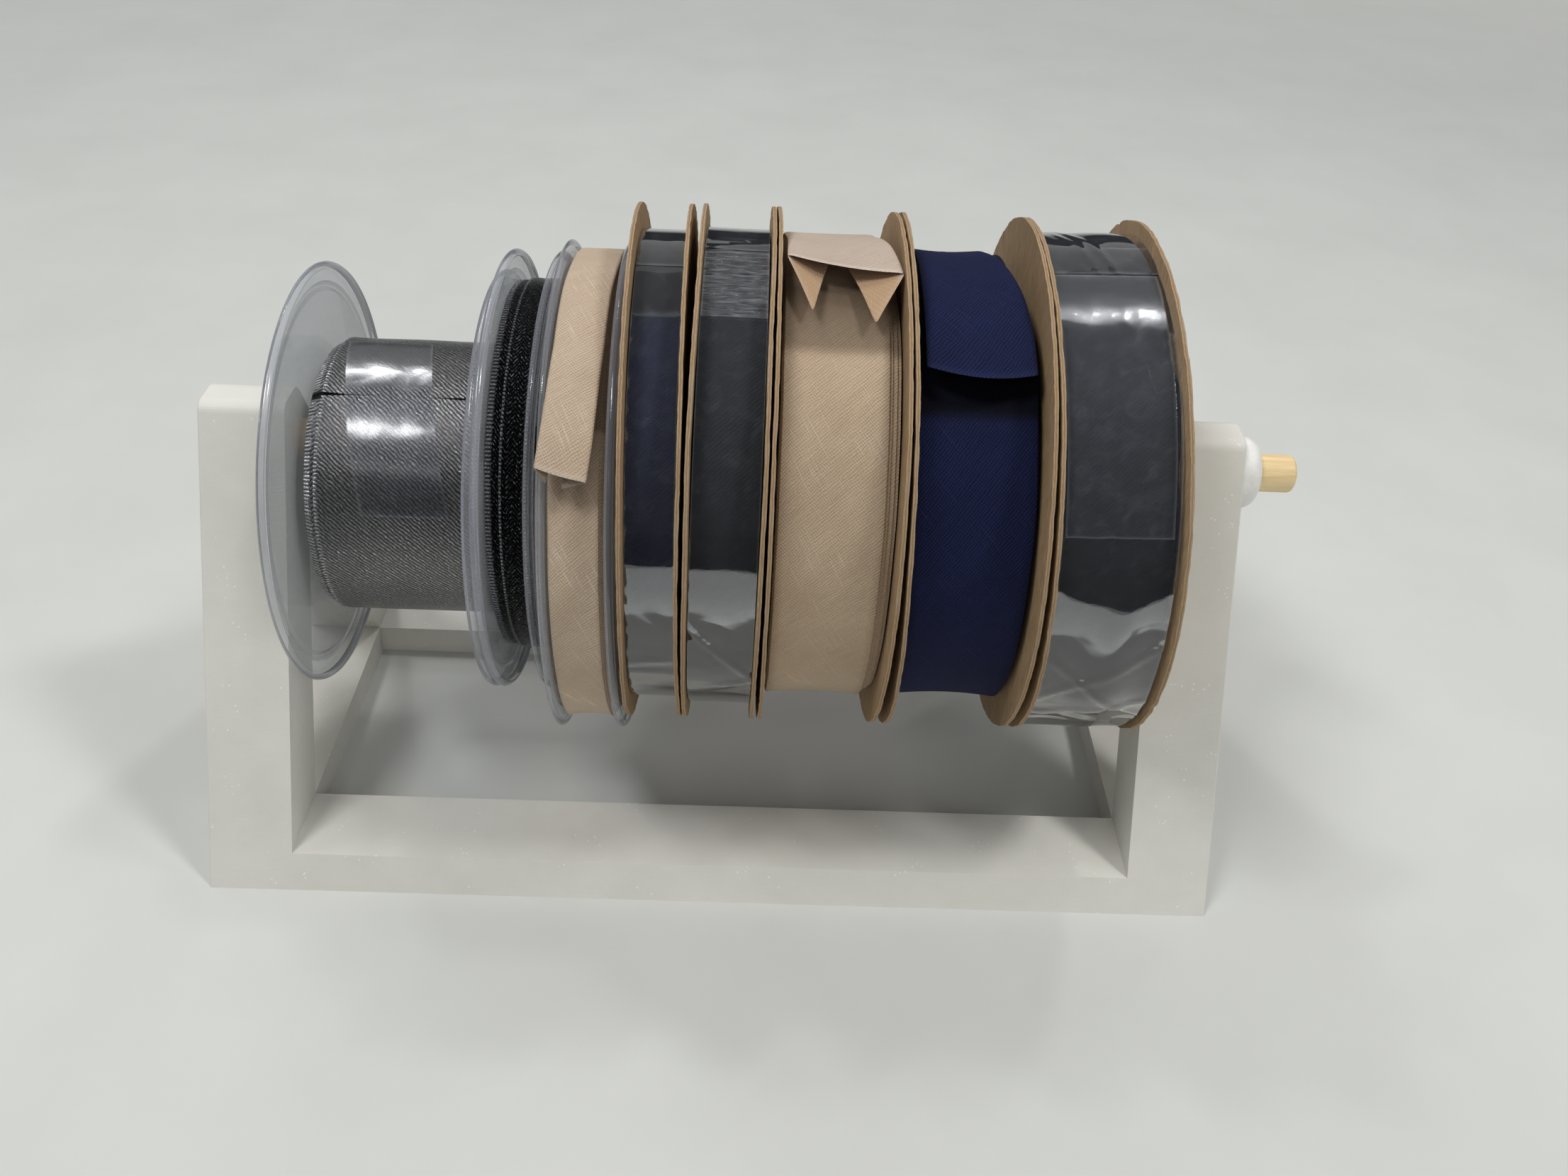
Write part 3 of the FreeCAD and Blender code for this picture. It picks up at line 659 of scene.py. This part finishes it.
def clear_half(letter, side):
    """side is -1 for the left half, with the long hub, and 1 for the right half."""
    rim, wide, bore = CLEAR[letter]
    end = wide / 2
    out, seat = end - OUTSET, end - OUTSET - WALL
    ring, hub = rim - RING_IN, bore + HUB_WALL
    slim = SLIM_BEAD if (letter, side) in SLIM_SIDES else 1
    face = [(out, ring - 1.3), (end - 0.12, ring - 0.8), (end, ring - 0.3), (end, ring + 0.3),
            (end - 0.12, ring + 0.8), (out, ring + 1.2), (out, rim - 2.0), (end - 0.25, rim - 1.5)]
    face += [(end - slim * z, rim - r) for z, r in BEAD] + [(seat, rim - 1.7)]
    if side < 0:
        outline = [(-out, bore)] + [(-z, r) for z, r in face]
        outline += [(-seat, hub + 0.4), (-seat + 0.4, hub), (seat, hub), (seat, hub - WALL),
                    (seat - 3.0, hub - WALL), (seat - 3.0, bore)]
    else:
        outline = [(out, bore)] + face + [(seat, hub - 1.2), (seat - 2.9, hub - 1.2), (seat - 2.9, bore)]
    side_name = "left" if side < 0 else "right"
    half = lathe(f"{letter}_clear_{side_name}", outline, 176)
    for face in half.data.polygons:
        radius = math.hypot(face.center.x, face.center.y) / MM
        on_ring = 0.35 < abs(radius - ring) < 1.25
        face.material_index = 1 if radius > rim - 1.6 else 2 if on_ring else 3 if radius > ring else 0
    disc = clear_cloudy if side < 0 else clear_finish
    settle(half, letter, [disc, clear_bead, clear_ring, clear_border], [f"{letter}_flange_{side_name}"],
           "clear_plastic", 40)


for letter in CLEAR:
    clear_half(letter, -1)
    clear_half(letter, 1)

# %% [markdown]
# # The five card reels
# A card disc is die-cut: a cylinder with a hole, a rim that the die leaves a little ragged, and a slight
# warp from damp. The cylinder's two ends are inset down to the bore, the last faces are taken out and the
# two holes are bridged. Rim and faces get different finishes, because the cut shows the inside of the card.

# %% A plain card disc
CARD_RIM, CARD_BORE, CARD_THICK = 63.5, 8.25, 1.0
INSETS = (0.22, 0.6, 8, 14, 18)


def cut_disc(name, low, high):
    """A disc of card from z low to high, with its hole, in mm."""
    nothing_selected()
    bpy.ops.mesh.primitive_cylinder_add(vertices=300, radius=CARD_RIM * MM, depth=(high - low) * MM,
                                        end_fill_type="NGON", calc_uvs=False,
                                        location=(0, 0, (low + high) / 2 * MM))
    disc = fresh(name)
    choose_faces(disc, lambda face: abs(face.normal.z) > 0.9)
    for step in (*INSETS, CARD_RIM - CARD_BORE - sum(INSETS)):
        bpy.ops.mesh.inset(thickness=step * MM, use_individual=True, use_even_offset=True)
    bpy.ops.mesh.delete(type="FACE")
    bpy.ops.mesh.select_mode(type="EDGE")
    bpy.ops.mesh.select_all(action="DESELECT")
    bpy.ops.mesh.select_non_manifold()
    bpy.ops.mesh.bridge_edge_loops()
    on_all(bpy.ops.mesh.normals_make_consistent, inside=False)
    bpy.ops.object.mode_set(mode="OBJECT")
    return disc


# %% Its map, and its wear
WARP, WARP_LONG = 0.28, 38
RAGGED_IN, THINNED, CORNER = 1.1, 0.24, 0.12


def map_disc(disc, low, seed):
    """Faces lie flat on the map; the rim unrolls. The rim's faces take the second finish."""
    for face in disc.data.polygons:
        on_rim = math.hypot(face.center.x, face.center.y) > 60 * MM
        face.material_index = 1 if abs(face.normal.z) < 0.5 and on_rim else 0

    def place(face, co, angle):
        if face.material_index:
            return co.z / MM - low, angle * CARD_RIM + seed * 31
        return co.y / MM + seed * 17, co.x / MM

    map_corners(disc, disc.data.uv_layers.new(name="flat"), place)


def worn_disc(name, low, high, seed, lean):
    disc = cut_disc(name, low, high)
    map_disc(disc, low, seed)
    middle = (low + high) / 2
    for point in disc.data.vertices:
        z, r = point.co.z / MM, math.hypot(point.co.x, point.co.y) / MM
        out = Vector((point.co.x, point.co.y, 0)).normalized()
        where = Vector((point.co.x, point.co.y, seed * 0.05)) / MM
        point.co.z += noise.noise(where / WARP_LONG) * WARP * MM * smooth((r - 20) / 40)
        point.co.z += lean[0] * point.co.x + lean[1] * point.co.y
        if r > CARD_RIM - RAGGED_IN:
            side = 1 if z > middle else -1
            ragged = noise.noise(where / 9) * 0.34 + noise.noise(where / 1.7) * 0.15
            nick = max(0.0, noise.noise(where / 3.1 + Vector((0, 0, 5))) - 0.42) * 1.6
            thin = abs(noise.noise(where / 4.3 + Vector((0, 0, 9 * side)))) * THINNED
            corner = CORNER if abs(z - middle) > 0.2 and r > CARD_RIM - 0.1 else 0
            point.co.z -= side * thin * MM
            point.co += out * (ragged - nick - corner) * MM
    return disc


# %% Reels and their cores
REELS = {"d": 13.2, "e": 17.25, "f": 28.8, "g": 29.8, "h": 27.7}
CORE_IN, CORE_OUT = 18.0, 20.0
BENT_DISC, BENT_LEAN = "h_card_right", (-0.016, 0.014)

for number, (letter, wide) in enumerate(REELS.items()):
    end, half = wide / 2, wide / 2 - CARD_THICK
    for second, (side, low, high) in enumerate((("left", -end, -half), ("right", half, end))):
        name = f"{letter}_card_{side}"
        disc = worn_disc(name, low, high, number * 2 + second, BENT_LEAN if name == BENT_DISC else (0, 0))
        settle(disc, letter, [kraft_face, kraft_rim], [f"{letter}_flange_{side}"], "kraft_card", 50)
    section = [(-half, CORE_IN), (-half, CORE_OUT), (half, CORE_OUT), (half, CORE_IN)]
    core = lathe(f"{letter}_card_core", section, 96)
    flat_map(core, section, CORE_OUT)
    settle(core, letter, [kraft_face], [f"{letter}_core"], "kraft_card", 35)

# %% [markdown]
# # The windings
# A winding is hundreds of turns, but only the last few show: their edges stand in and out by a hair at both
# sides, because no one winds quite straight. A spiral of real ribbon would cost a million faces, so the
# outline has one step for each of the last turns, and the lathe carries it round.

# %% Outline of a winding
def wound_outline(outer, half, layer, turns, waver, seed, inner=20.1, sink=0.0, left=0.0, right=0.0):
    """(z, radius) points: the sides with the edges of the last turns, and the top between them.
    left and right are how far the outermost turn stands back from the sides."""
    def edge(k, side):
        jig = noise.noise(Vector((k * 1.7, side * 3.3, seed * 5.1))) * waver
        back = (left if side < 0 else right) * smooth((k - turns + 3) / 3)
        return side * (half - abs(jig) - back)

    rising, falling = [], []
    for k in range(turns + 1):
        low = outer - (turns + 1 - k) * layer
        for points, side in ((rising, -1), (falling, 1)):
            z = edge(k, side)
            points += [(z - side * 0.22, low + 0.02), (z, low + layer * 0.28), (z, low + layer * 0.72)]
    top = []
    z_low, z_high = rising[-1][0], falling[-1][0]
    for k in range(13):
        u = k / 12
        z = z_low + 0.2 + (z_high - z_low - 0.4) * u
        top.append((z, outer - sink * (1 - abs(2 * u - 1) ** 2.2)))
    foot, foot_half = outer - (turns + 1) * layer, half - 0.25
    return [(-foot_half, inner), (-foot_half, foot)] + rising + top + falling[::-1] + [
        (foot_half, foot), (foot_half, inner)]


# %% What differs from spool to spool
WOUND = {
    "a": dict(inner=17.5, outer=33.4, half=19.0, layer=0.34, turns=5, waver=1.0, left=1.3, right=0.2, seed=2),
    "b": dict(inner=14.4, outer=45.4, half=4.6, layer=0.30, turns=6, waver=0.35, seed=3),
    "c": dict(inner=18.3, outer=58.3, half=6.3, layer=0.62, turns=7, waver=0.9, sink=0.7, right=1.0, seed=4),
    "d": dict(outer=56.6, half=5.2, layer=0.33, turns=6, waver=0.35, seed=5),
    "e": dict(outer=57.3, half=7.2, layer=0.33, turns=6, waver=0.4, seed=6),
    "f": dict(outer=56.7, half=13.0, layer=0.70, turns=8, waver=1.0, sink=0.7, right=2.6, left=0.3, seed=7),
    "g": dict(outer=55.2, half=13.4, layer=0.70, turns=8, waver=0.9, sink=0.8, right=0.8, seed=8),
    "h": dict(outer=58.3, half=12.4, layer=0.33, turns=7, waver=0.5, seed=9),
}
# The finish of each winding, and its material slot.
CLOTH = {"a": (grey_satin, "grey_satin"), "b": (black_satin, "black_satin"),
         "c": (beige_binding, "beige_binding"), "d": (navy_ribbon, "navy_ribbon"),
         "e": (charcoal_ribbon, "charcoal_ribbon"), "f": (rose_binding, "beige_binding"),
         "g": (navy_binding, "navy_binding"), "h": (charcoal_ribbon, "charcoal_ribbon")}
# How far a loosely wound ribbon lies above the middle of its reel, in mm.
HANGS = {"b": 1.9, "g": -1.2}
# How far the right side of a winding draws in at the top and behind, in mm.
SHOULDER = {"f": 1.2, "g": 3.2}
# Painted shadow on the winding under its open end, and in the grey ribbon's slit: stations of (theta, share).
PAINTED_SHADOWS = {"a": [(62.5, 0), (64, 1), (67, 1), (68.5, 0)],
           "c": [(26, 0), (31, 0.5), (50, 0.6), (98, 0.6), (106, 0)],
           "f": [(57, 0), (59.5, 0.65), (76, 0.95), (90, 0)],
           "g": [(44.5, 0), (47, 1.0), (80, 1.0), (90, 0)]}
# Ribbons whose outermost threads stand out as picots.
PICOT_EDGED = "ab"


# %% Making of a winding
def mark_selvedge(piece, at_edge):
    """Point attribute "selvedge": 1 on the outermost threads, 0 elsewhere."""
    set_mark(piece, "selvedge", [1.0 if at_edge(point.co.z / MM) else 0.0 for point in piece.data.vertices])


def off_centre(piece, letter):
    piece.data.transform(Matrix.Translation((HANGS.get(letter, 0) * MM, 0, 0)))


def painted_shadow_at(letter, co):
    """How much painted shadow a point of the winding gets from its open end."""
    theta, radius = theta_of(co), co.xy.length / MM
    if letter not in PAINTED_SHADOWS or theta <= 0 or radius <= WOUND[letter]["outer"] - 3:
        return 0.0
    middle = smooth(1.5 - abs(co.z / MM + 2) / 4) if letter == "c" and theta < 45 else 1
    return between(PAINTED_SHADOWS[letter], theta)[0] * middle


def winding(letter, sizes):
    outline = wound_outline(**sizes)
    wound = lathe(letter + "_wound", outline, 288 if letter in PAINTED_SHADOWS else 192)
    flat_map(wound, outline, sizes["outer"])
    if letter in PICOT_EDGED:
        ends = max(z for z, r in outline) - 1.4
        mark_selvedge(wound, lambda z: abs(z) > ends)
    for point in wound.data.vertices:
        theta = theta_of(point.co)
        above = smooth((theta - 62) / 32) * smooth((250 - theta) / 60)
        outside = smooth(point.co.z / MM / 8) * smooth((point.co.xy.length / MM - 48) / 5)
        point.co.z -= SHOULDER.get(letter, 0) * MM * above * outside
    # Attribute "under" carries the painted shadow that the finishes darken.
    set_mark(wound, "under", [painted_shadow_at(letter, point.co) for point in wound.data.vertices])
    uneven(wound, sizes["seed"])
    off_centre(wound, letter)
    finish, slot = CLOTH[letter]
    settle(wound, letter, [finish], [letter + "_ribbon"], slot)


for letter, sizes in WOUND.items():
    winding(letter, sizes)

# %% [markdown]
# ## Last turns that lie askew
# On the first two spools the last turn of ribbon is shifted sideways, and its edges show. On the grey
# one the turn's two ends nearly meet, which leaves a thin slit, and a strip of tape holds them.

# %% The last turn of the grey and the black ribbon
def last_turn(letter, radius, low, high, first, turn, thick, seed, bow=0.0):
    """A strip of ribbon once round: first and turn in degrees, bow for ends that aren't cut straight."""
    def place(u, v):
        theta = first + turn * v + bow * (1 - (2 * u - 1) ** 2) * (smooth(v * 30 - 29) - smooth(1 - v * 30))
        edge = 0.10 * max(0.0, 1 - min(u, 1 - u) * (high - low) / 0.7)
        lift = 0.12 * noise.noise(Vector((u * 3, v * 30, seed))) + edge
        return around(theta, radius + lift, low + (high - low) * u)

    strip = laid_sheet(letter + "_last_turn", 28, 220, place, high - low, math.radians(turn) * radius)
    mark_selvedge(strip, lambda z: min(z - low, high - z) < 0.5)
    thicken(strip, thick)
    off_centre(strip, letter)
    finish, slot = CLOTH[letter]
    settle(strip, letter, [finish], [letter + "_outer_turn"], slot)


last_turn("a", radius=33.75, low=-16.3, high=20.6, first=66.1, turn=358.2, thick=0.25, seed=1, bow=0.9)
last_turn("b", radius=45.75, low=-1.4, high=4.6, first=40.0, turn=359.9, thick=0.22, seed=2)

# %% [markdown]
# # Ends of binding
# Bias binding is a strip with both edges folded in, so its free end is a flat sleeve: a panel with two
# flaps under it. Where it was cut and handled the end springs up and the flaps fall open. It is one sheet
# of cloth, so it is one grid: flap, fold, panel, fold, flap, each with its own line along the tape.

# %% A folded end
CLOTH_THICK = 0.32


def folded_end(letter, node, panel, flaps, flap_share, rows, finish, flat, seed, curve):
    """panel: stations (t, theta left, theta right, z left, z right, radius left, middle, right);
    flaps: for each side stations (t, theta, z, radius) of the raw edge."""
    inside = []

    def place(u, v):
        # Attribute "under" on the flaps: painted shade, for their side that faces away from the lamps.
        inside.append(0.75 * smooth((flap_share - min(u, 1 - u)) / flap_share * 4))
        tl, tr, zl, zr, rl, rm, rr = between(panel, v)
        wave_at = noise.noise(Vector((u * 2.1, v * 5, seed))) * 0.22
        if flap_share <= u <= 1 - flap_share:
            k = (u - flap_share) / (1 - 2 * flap_share)
            theta = tl + (tr - tl) * k - curve * 4 * k * (1 - k) * smooth(v * 3 - 2)
            bend = 4 * k * (1 - k)
            radius = rl + (rr - rl) * k + (rm - (rl + rr) / 2) * bend
            edge = max(0.0, 1 - min(k, 1 - k) / 0.05)
            return around(theta, radius + wave_at * bend - 0.25 * edge * edge, zl + (zr - zl) * k)
        side = 0 if u < flap_share else 1
        q = 1 - (u if side == 0 else 1 - u) / flap_share
        theta1, z1, r1 = between(flaps[side], v)
        theta0, z0, r0 = (tl, zl, rl) if side == 0 else (tr, zr, rr)
        near = max(0.0, 1 - q / 0.15)
        gap = 0.75 - 0.4 * smooth(v * 4 - 3)
        radius = (r0 - gap) + (r1 - r0 + gap) * q + wave_at * q
        z = z0 + (z1 - z0) * q + (0.15 if side == 0 else -0.15) * near
        return around(theta0 + (theta1 - theta0) * q, radius, z)

    sheet = laid_sheet(letter + "_end_open", 44, rows, place, flat[0] * 1000, flat[1] * 1000)
    set_mark(sheet, "under", inside)
    thicken(sheet, CLOTH_THICK, 0.0)
    modify(sheet, "SUBSURF", levels=1, render_levels=1)
    settle(sheet, letter, [finish], [node], CLOTH[letter][1])


# %% The three open ends
folded_end(
    "f", "f_end",
    panel=[(0.0, 126, 126, -12.9, 8.2, 57.2, 57.2, 57.3), (0.45, 105, 104, -12.8, 9.4, 57.5, 57.4, 57.9),
           (0.7, 94.4, 91.4, -12.4, 11.5, 59.2, 59.0, 60.0),
           (1.0, 80.4, 76.0, -12.5, 13.4, 62.3, 62.6, 62.2)],
    flaps=([(0.0, 126, -3.5, 57.0), (0.72, 95, -2.4, 57.4), (0.84, 85.5, -2.6, 57.8),
            (1.0, 65.3, -6.6, 60.3)],
           [(0.0, 126, 1.0, 57.0), (0.72, 95, 0.4, 57.5), (0.84, 85.0, 0.4, 58.0),
            (1.0, 62.6, 6.8, 60.6)]),
    flap_share=0.25, rows=34, finish=rose_end, flat=(0.046, 0.046), seed=1.5, curve=1.9)
folded_end(
    "g", "g_end",
    panel=[(0.0, 138, 138, -12.6, 5.5, 54.8, 54.5, 54.7), (0.35, 110, 108, -12.0, 6.0, 54.9, 54.4, 54.9),
           (0.5, 96, 94, -11.8, 8.6, 55.1, 54.8, 55.3), (0.7, 79, 78, -12.0, 11.0, 56.0, 56.4, 56.0),
           (0.85, 67, 66, -12.1, 11.8, 57.5, 58.8, 57.4), (1.0, 54.3, 53.2, -12.2, 12.0, 59.2, 60.9, 59.0)],
    flaps=([(0.0, 138, -3.0, 54.2), (0.6, 88, -3.0, 54.4), (1.0, 57, -4.0, 56.6)],
           [(0.0, 138, 0.5, 54.2), (0.6, 88, 1.5, 54.4), (1.0, 57, 2.5, 56.6)]),
    flap_share=0.25, rows=46, finish=navy_binding, flat=(0.045, 0.084), seed=2.5, curve=2.4)
folded_end(
    "c", "c_tail",
    panel=[(0.0, 110, 110, -5.2, 6.2, 58.9, 59.0, 58.9), (0.2, 95, 94, -5.6, 5.9, 59.2, 59.4, 59.2),
           (0.4, 80, 79, -6.1, 5.3, 60.0, 60.4, 60.0), (0.62, 62, 61.5, -6.1, 5.2, 61.6, 62.2, 61.7),
           (0.8, 50, 49, -6.8, 4.6, 62.9, 63.5, 62.9), (0.92, 42, 40.5, -7.5, 4.0, 63.7, 64.3, 63.7),
           (1.0, 36.0, 33.4, -8.3, 3.0, 64.1, 64.7, 64.0)],
    flaps=([(0.0, 110, -1.0, 58.6), (0.9, 43, -3.6, 62.2), (1.0, 32.8, -5.7, 62.6)],
           [(0.0, 110, 0.4, 58.6), (0.9, 41, -1.4, 62.4), (1.0, 32.0, -2.5, 62.7)]),
    flap_share=0.23, rows=52, finish=beige_binding, flat=(0.0215, 0.084), seed=3.5, curve=0.3)

# %% [markdown]
# # Film and tape
# Three ribbons are still wrapped in clear film, which is loose: it stands off the winding at the bottom,
# creases across its width and overlaps itself at the top. A film is one sheet more than once round.
# The bumps are real geometry, because shine follows the true slope of a surface.

# %% Films
FILM_THICK = 0.06


def wrapped_film(letter, radius, half, start, turn, crinkle, seed, bulge, folds, belly=0.0):
    """bulge: stations (theta, mm) of how far the film stands off; folds: (theta, slant, depth, width)."""
    def place(u, v):
        theta = start - turn * v
        bare = (theta + 180) % 360 - 180
        z = (2 * u - 1) * half
        off = between(bulge, bare)[0]
        side = abs(2 * u - 1)
        loose = crinkle * (0.25 + 0.75 * smooth(off / 1.5 + 0.25))
        off += loose * noise.noise(Vector((z / 11, theta / 15, seed)))
        off += 0.16 * smooth(side * 6 - 5) * noise.noise(Vector((seed, theta / 1.9, side)))
        for at, slant, deep, wide in folds:
            gap = (bare - at - slant * z) / wide
            off += deep * math.exp(-gap * gap)
        off += belly * math.exp(-((z - 2) / 6) ** 2) * smooth((12 - bare) / 22) * smooth((bare + 60) / 40)
        return around(theta, radius + 0.12 * v + max(off, -0.1), z)

    sheet = laid_sheet(letter + "_wrap", 44, 300, place, half * 2, math.radians(turn) * radius)
    thicken(sheet, FILM_THICK)
    settle(sheet, letter, [film_finish], [letter + "_film"], "clear_film")


wrapped_film("d", 57.0, 5.35, start=94.0, turn=372, crinkle=0.16, seed=1.0,
             bulge=[(-180, 0.3), (-120, 0.6), (-60, 1.2), (-28, 1.6), (-12, 0.7), (4, 0.15), (60, 0.05),
                    (100, 0.05), (180, 0.3)],
             folds=[(-19, 0.15, 0.4, 0.8), (-24, -0.1, 0.4, 0.8)])
wrapped_film("e", 57.7, 7.38, start=97.0, turn=368, crinkle=0.22, seed=2.0,
             bulge=[(-180, 0.4), (-120, 0.8), (-60, 1.6), (-26, 2.2), (-10, 0.8), (6, 0.2), (60, 0.05),
                    (75, 0.25), (100, 0.1), (180, 0.4)],
             folds=[(-15, -1.1, 0.35, 0.9), (91, 0.2, 0.25, 0.8), (87, -0.35, 0.3, 0.7),
                    (83, 0.4, 0.25, 0.6), (79, -0.2, 0.3, 0.8), (75, 0.3, 0.2, 0.6), (-27, 0.4, 0.4, 0.9)])
wrapped_film("h", 58.9, 12.62, start=94.0, turn=372, crinkle=0.42, seed=3.0, belly=1.5,
             bulge=[(-180, 1.5), (-120, 3.6), (-80, 4.3), (-45, 3.7), (-20, 3.0), (0, 2.2), (30, 1.1),
                    (60, 0.4), (80, 0.3), (92, 0.8), (110, 1.0), (180, 1.6)],
             folds=[(92, -3.3, 0.20, 3.0), (77, -4.0, 0.12, 3.0), (-14, 0.7, 0.35, 0.9),
                    (-20, -0.9, 0.4, 0.9), (-27, 0.3, 0.4, 1.0), (-32, -0.2, 0.4, 1.0)])

# %% [markdown]
# Strips of tape are laid on last. Each follows what lies under it and lifts at its lower end.

# %% Tapes
TAPE_THICK, TAPE_GAP = 0.05, 0.08


def tape_strip(letter, start, end, low, high, radius, lift, seed, crinkle, lean=0.0, finish=tape_finish):
    """From theta start to end; low and high are its sides in mm, lean the shift of its lower end."""
    def place(u, v):
        theta = start + (end - start) * v
        z = low + (high - low) * u + lean * v
        off = crinkle * noise.noise(Vector((z / 5, theta / 9, seed)))
        off += crinkle * 0.25 * noise.noise(Vector((z / 2.4, theta / 5, seed + 2)))
        off += lift * smooth((v - 0.93) / 0.07) * (0.4 + 0.6 * noise.noise(Vector((z / 4, 1, seed))))
        return around(theta, radius(theta) + off + TAPE_GAP, z)

    long = math.radians(abs(start - end)) * radius(60)
    sheet = laid_sheet(letter + "_tape_strip", 34, 120, place, high - low, long)
    thicken(sheet, TAPE_THICK)
    settle(sheet, letter, [finish], [letter + "_tape"], "clear_tape")


tape_strip("a", 101, 16.5, -14.7, 5.4, lambda t: 34.35, lift=0.25, seed=1.0, crinkle=0.06, lean=9.2)
tape_strip("e", 87, 65, -7.2, 7.2, lambda t: 58.15, lift=0.3, seed=2.0, crinkle=0.25, finish=creased_tape)
tape_strip("h", 81, 20, -11.9, 11.2,
           lambda t: 59.25 + between([(0, 2.2), (30, 1.1), (60, 0.4), (90, 0.2)], t)[0],
           lift=0.9, seed=3.0, crinkle=0.08)

# %% [markdown]
# # Floor, lamps and camera
# A plain pale floor and soft studio lamps: two above the sides, two above and two behind for the shadows,
# and low ones in front. Wide dim panels behind and above show what is shiny, and narrow lamps on the left
# give the sheen of satin and tape. Lamps that would only leave spots on the films aren't mirrored. The
# world is dim, while camera and clear plastic see a pale background.

# %% Floor
DARK_FRONT = -0.36
FLOOR_FADE = (0.75, 1.7)


def pale_floor():
    """Mottled, dark in mirrors in front of the stand, and one even tone far away."""
    f = Finish("pale_floor", Roughness=0.6, Specular_IOR_Level=0.2)
    fleck = f.noise(f.here(), 14, 4, 0.6)
    f.wear(Base_Color=f.mix(f.clamp(fleck, 0.35, 0.7), (214, 215, 210), (209, 210, 205)))
    mirrored = f.ray("Glossy") * (f.part(f.here(), "Y") < DARK_FRONT)
    near = f.either(mirrored, Val(f, f.shader.outputs[0]), f.glow((16, 17, 19)))
    away = f.node("ShaderNodeVectorMath", {"operation": "LENGTH"}, {0: f.here()}, "Value")
    return f.surface(f.ray("Camera") * f.clamp(away, *FLOOR_FADE), near, f.glow((205, 206, 201)))


nothing_selected()
bpy.ops.mesh.primitive_plane_add(size=7, location=(0, 0, 0))
floor = bpy.context.object
floor.name = "floor"
floor.data.materials.append(pale_floor())
print("floor", floor.dimensions[:2])

# %% World
world = bpy.data.worlds.new("studio")
bpy.context.scene.world = world
sky = Nodes(world)
seen = sky.node("ShaderNodeMath", {"operation": "MAXIMUM"},
                {0: sky.ray("Camera"), 1: sky.ray("Transmission")})
dim = sky.mix(sky.ray("Glossy"), (108, 110, 114), (34, 35, 38))
sky.set(sky.tree.nodes["Background"], {"Color": sky.mix(seen, dim, (204, 205, 200)), "Strength": 1.0})
print("world", world.name)


# %% Lamps
SPOOLS_MIDDLE = Vector((0, 0, 0.09))


def lamp(name, toward, distance, size, strength, mirrored=True):
    """A soft area lamp on the line from the spools toward a direction; strength is its brightness."""
    direction = Vector(toward).normalized()
    data = bpy.data.lights.new(name, "AREA")
    data.shape = "RECTANGLE"
    data.size, data.size_y = size
    data.energy = strength * math.pi * size[0] * size[1]
    one = bpy.data.objects.new(name, data)
    bpy.context.scene.collection.objects.link(one)
    one.location = SPOOLS_MIDDLE + direction * distance
    one.rotation_euler = direction.to_track_quat("Z", "Y").to_euler()
    one.visible_glossy = mirrored


lamp("right_lamp", (0.51, -0.143, 0.848), 1.3, (0.20, 0.20), 38)
lamp("left_lamp", (-0.475, -0.14, 0.869), 1.3, (0.20, 0.20), 14)
lamp("over_lamp_left", (-0.32, 0.38, 0.87), 1.6, (0.13, 0.13), 40, mirrored=False)
lamp("over_lamp_right", (0.27, 0.33, 0.90), 1.6, (0.13, 0.13), 40, mirrored=False)
lamp("rear_lamp_left", (-0.33, 0.74, 0.60), 2.4, (0.25, 0.25), 8, mirrored=False)
lamp("rear_lamp_right", (0.40, 0.70, 0.60), 2.4, (0.25, 0.25), 8, mirrored=False)
lamp("rear_panel", (0.0, 0.859, 0.511), 1.5, (2.2, 0.85), 0.24)
lamp("upper_panel", (0.0, 0.47, 0.88), 1.5, (2.2, 0.80), 0.12)
lamp("high_lamp_left", (-0.39, 0.49, 0.78), 1.4, (0.36, 0.06), 22)
lamp("high_lamp_right", (0.27, 0.33, 0.90), 1.4, (0.009, 0.03), 190)
lamp("top_lamp_left", (-0.38, -0.29, 0.88), 1.4, (0.38, 0.20), 24)
lamp("side_lamp_left", (-0.30, -0.78, 0.61), 1.4, (0.45, 0.20), 1.0)
lamp("front_lamp", (0.25, -0.72, 0.66), 1.5, (0.35, 0.10), 5, mirrored=False)
lamp("front_panel", (0.10, -0.90, 0.30), 1.3, (1.4, 0.6), 0.36, mirrored=False)
lamp("front_low_lamp", (0.72, -0.62, 0.32), 0.8, (0.20, 0.20), 4.0, mirrored=False)
print("lamps", len(bpy.data.lights))

# %% Camera
yaw, pitch, roll = math.radians(1.75), math.radians(35.47), math.radians(3.07)
forward = Vector((math.sin(yaw) * math.cos(pitch), math.cos(yaw) * math.cos(pitch), -math.sin(pitch)))
level = Vector((math.cos(yaw), -math.sin(yaw), 0))
over = level.cross(forward)
right = level * math.cos(roll) + over * math.sin(roll)
top = over * math.cos(roll) - level * math.sin(roll)
camera_data = bpy.data.cameras.new("camera")
camera_data.lens, camera_data.sensor_width = 31.44, 36.0
camera_data.shift_x, camera_data.shift_y = -0.0042, -0.0269
camera_data.clip_start, camera_data.clip_end = 0.01, 30
camera = bpy.data.objects.new("camera", camera_data)
bpy.context.scene.collection.objects.link(camera)
placed = Matrix((right, top, -forward)).transposed().to_4x4()
placed.translation = Vector((0.0005, -0.2931, 0.2790))
camera.matrix_world = placed
bpy.context.scene.camera = camera
bpy.context.scene.view_settings.view_transform = "Standard"
print("camera at", [round(c, 4) for c in placed.translation])
